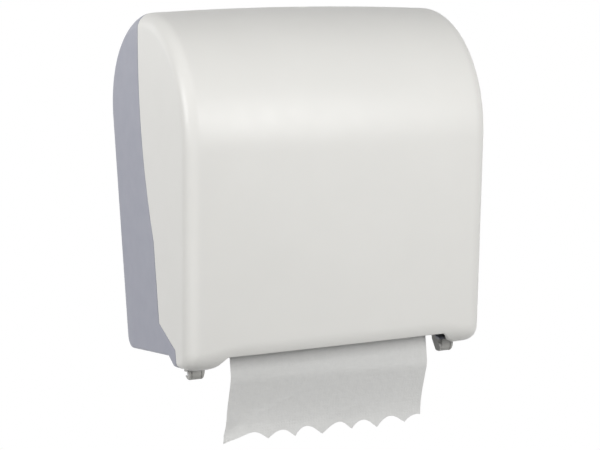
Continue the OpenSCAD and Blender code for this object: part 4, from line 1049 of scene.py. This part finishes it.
def woundBoard():
    # grey-brown board wound on the slant, with long pale fibres
    material, tree, shader, spot = startMaterial("wound cardboard", Roughness=0.85)
    slant = addNode(
        tree, "ShaderNodeMapping", {"Rotation": (0, 0.5, 0), "Scale": (0.25, 1, 1)}, {"Vector": spot})
    fibre = addNode(
        tree, "ShaderNodeTexNoise", {"Scale": perMetre(2), "Detail": 6, "Roughness": 0.7},
        {"Vector": slant.outputs[0]})
    tint = addNode(
        tree, "ShaderNodeMix", {"data_type": "RGBA", 6: linear("#a9875e"), 7: linear("#bd9a6d")},
        {0: fibre.outputs[0]})
    tree.links.new(tint.outputs[2], shader.inputs["Base Color"])
    rise = addNode(
        tree, "ShaderNodeBump", {"Strength": 0.3, "Distance": 0.0003}, {"Height": fibre.outputs[0]})
    tree.links.new(rise.outputs[0], shader.inputs["Normal"])
    return material


finishes = {
    "pearl_shell": pearlAbs, "grey_shell": lilacAbs, "chassis": chassisNylon, "acetal": acetal,
    "knob": knobAbs, "steel": zincSteel, "spring_steel": springWire, "blade_steel": bladeSteel,
    "rubber": rubber, "towel": towelPaper, "cardboard": woundBoard(),
}


def dress(piece, material):
    piece.data.materials.clear()
    piece.data.materials.append(material)


for part in frame["record"]["subparts"]:
    dress(frame["nodes"][part["node"]], finishes[part["material_slot"]])
dress(coverShell, pearlAbs)
dress(housingShell, lilacAbs)
dress(hingeHooks, hookAbs)
dress(hingeArms, hookAbs)
dress(paperTowel, towelPaper)
dress(woundRoll, rollPaper)
dress(coilSpring, springWire)
print("materials assigned:", len(bpy.data.materials))


# Camera

camera = {
    "lens": 93.81, "sensor": 36, "at": (-652.5, -1594.1, 179.6),
    "azimuth": -23.517, "elevation": 1.592, "roll": -3.737,
}


def addCamera():
    turn, rise, bank = (math.radians(camera[k]) for k in ("azimuth", "elevation", "roll"))
    ahead = Vector((-math.sin(turn) * math.cos(rise), math.cos(turn) * math.cos(rise), -math.sin(rise)))
    right = Vector((math.cos(turn), math.sin(turn), 0))
    up = right.cross(ahead)
    rolledRight = math.cos(bank) * right + math.sin(bank) * up
    rolledUp = -math.sin(bank) * right + math.cos(bank) * up
    bpy.ops.object.camera_add(location=place(*camera["at"]))
    eye = bpy.context.object
    eye.rotation_euler = Matrix((rolledRight, rolledUp, -ahead)).transposed().to_euler()
    eye.data.lens = camera["lens"]
    eye.data.sensor_width = camera["sensor"]
    bpy.context.scene.camera = eye


addCamera()
print("camera placed:", camera["lens"], "mm lens")


# Light and surroundings

lights = {
    "sky": 0.03, "size": 800, "aim": (0, -110, 190),
    "lamps": {
        "side": {"at": (-1807, -429, 700), "watts": 22},
        "front": {"at": (400, -1920, 610), "watts": 16.6},
        "low": {"at": (650, -1895, 130), "watts": 8.5},
        "high": {"at": (0, -1453, 1533), "watts": 3},
        "back left": {"at": (-1148, 1258, 840), "watts": 3.2},
        "back right": {"at": (950, 1535, 190), "watts": 12},
    },
}


def addLights():
    world = bpy.data.worlds.new("white studio")
    bpy.context.scene.world = world
    world.use_nodes = True
    tree = world.node_tree
    tree.nodes.clear()
    path = addNode(tree, "ShaderNodeLightPath")
    seen = addNode(
        tree, "ShaderNodeMath", {"operation": "MAXIMUM"},
        {0: path.outputs["Is Camera Ray"], 1: path.outputs["Is Glossy Ray"]})
    clear = addNode(
        tree, "ShaderNodeMath", {"operation": "MAXIMUM"},
        {0: seen.outputs[0], 1: path.outputs["Is Transmission Ray"]})
    soft = addNode(
        tree, "ShaderNodeBackground", {"Color": linear("#ffffff"), "Strength": lights["sky"]})
    white = addNode(tree, "ShaderNodeBackground", {"Color": linear("#ffffff"), "Strength": 1})
    mix = addNode(
        tree, "ShaderNodeMixShader", {}, {0: clear.outputs[0], 1: soft.outputs[0], 2: white.outputs[0]})
    addNode(tree, "ShaderNodeOutputWorld", {}, {"Surface": mix.outputs[0]})
    middle = place(*lights["aim"])
    for name, lamp in lights["lamps"].items():
        spot = place(*lamp["at"])
        bpy.ops.object.light_add(type="AREA", location=spot)
        light = bpy.context.object
        light.name = name
        light.rotation_euler = (middle - spot).to_track_quat("-Z", "Y").to_euler()
        light.data.shape = "SQUARE"
        light.data.size = lights["size"] * mm
        light.data.energy = lamp["watts"]


addLights()
print("lamps placed:", len(lights["lamps"]))

# Floor, well below the wall-hung dispenser

floor = {"at": (0, -110, -1250), "size": 2600, "roughness": 0.9, "colour": "#f4f4f4"}


def addFloor():
    bpy.ops.object.select_all(action="DESELECT")
    bpy.ops.mesh.primitive_circle_add(
        vertices=96, radius=floor["size"] / 2 * mm, fill_type="NGON", location=place(*floor["at"]))
    ground = bpy.context.object
    ground.name = "pale_floor"
    looks = {"Roughness": floor["roughness"], "Base Color": linear(floor["colour"])}
    dress(ground, startMaterial("pale studio floor", **looks)[0])


addFloor()
bpy.context.scene.view_settings.view_transform = "Standard"
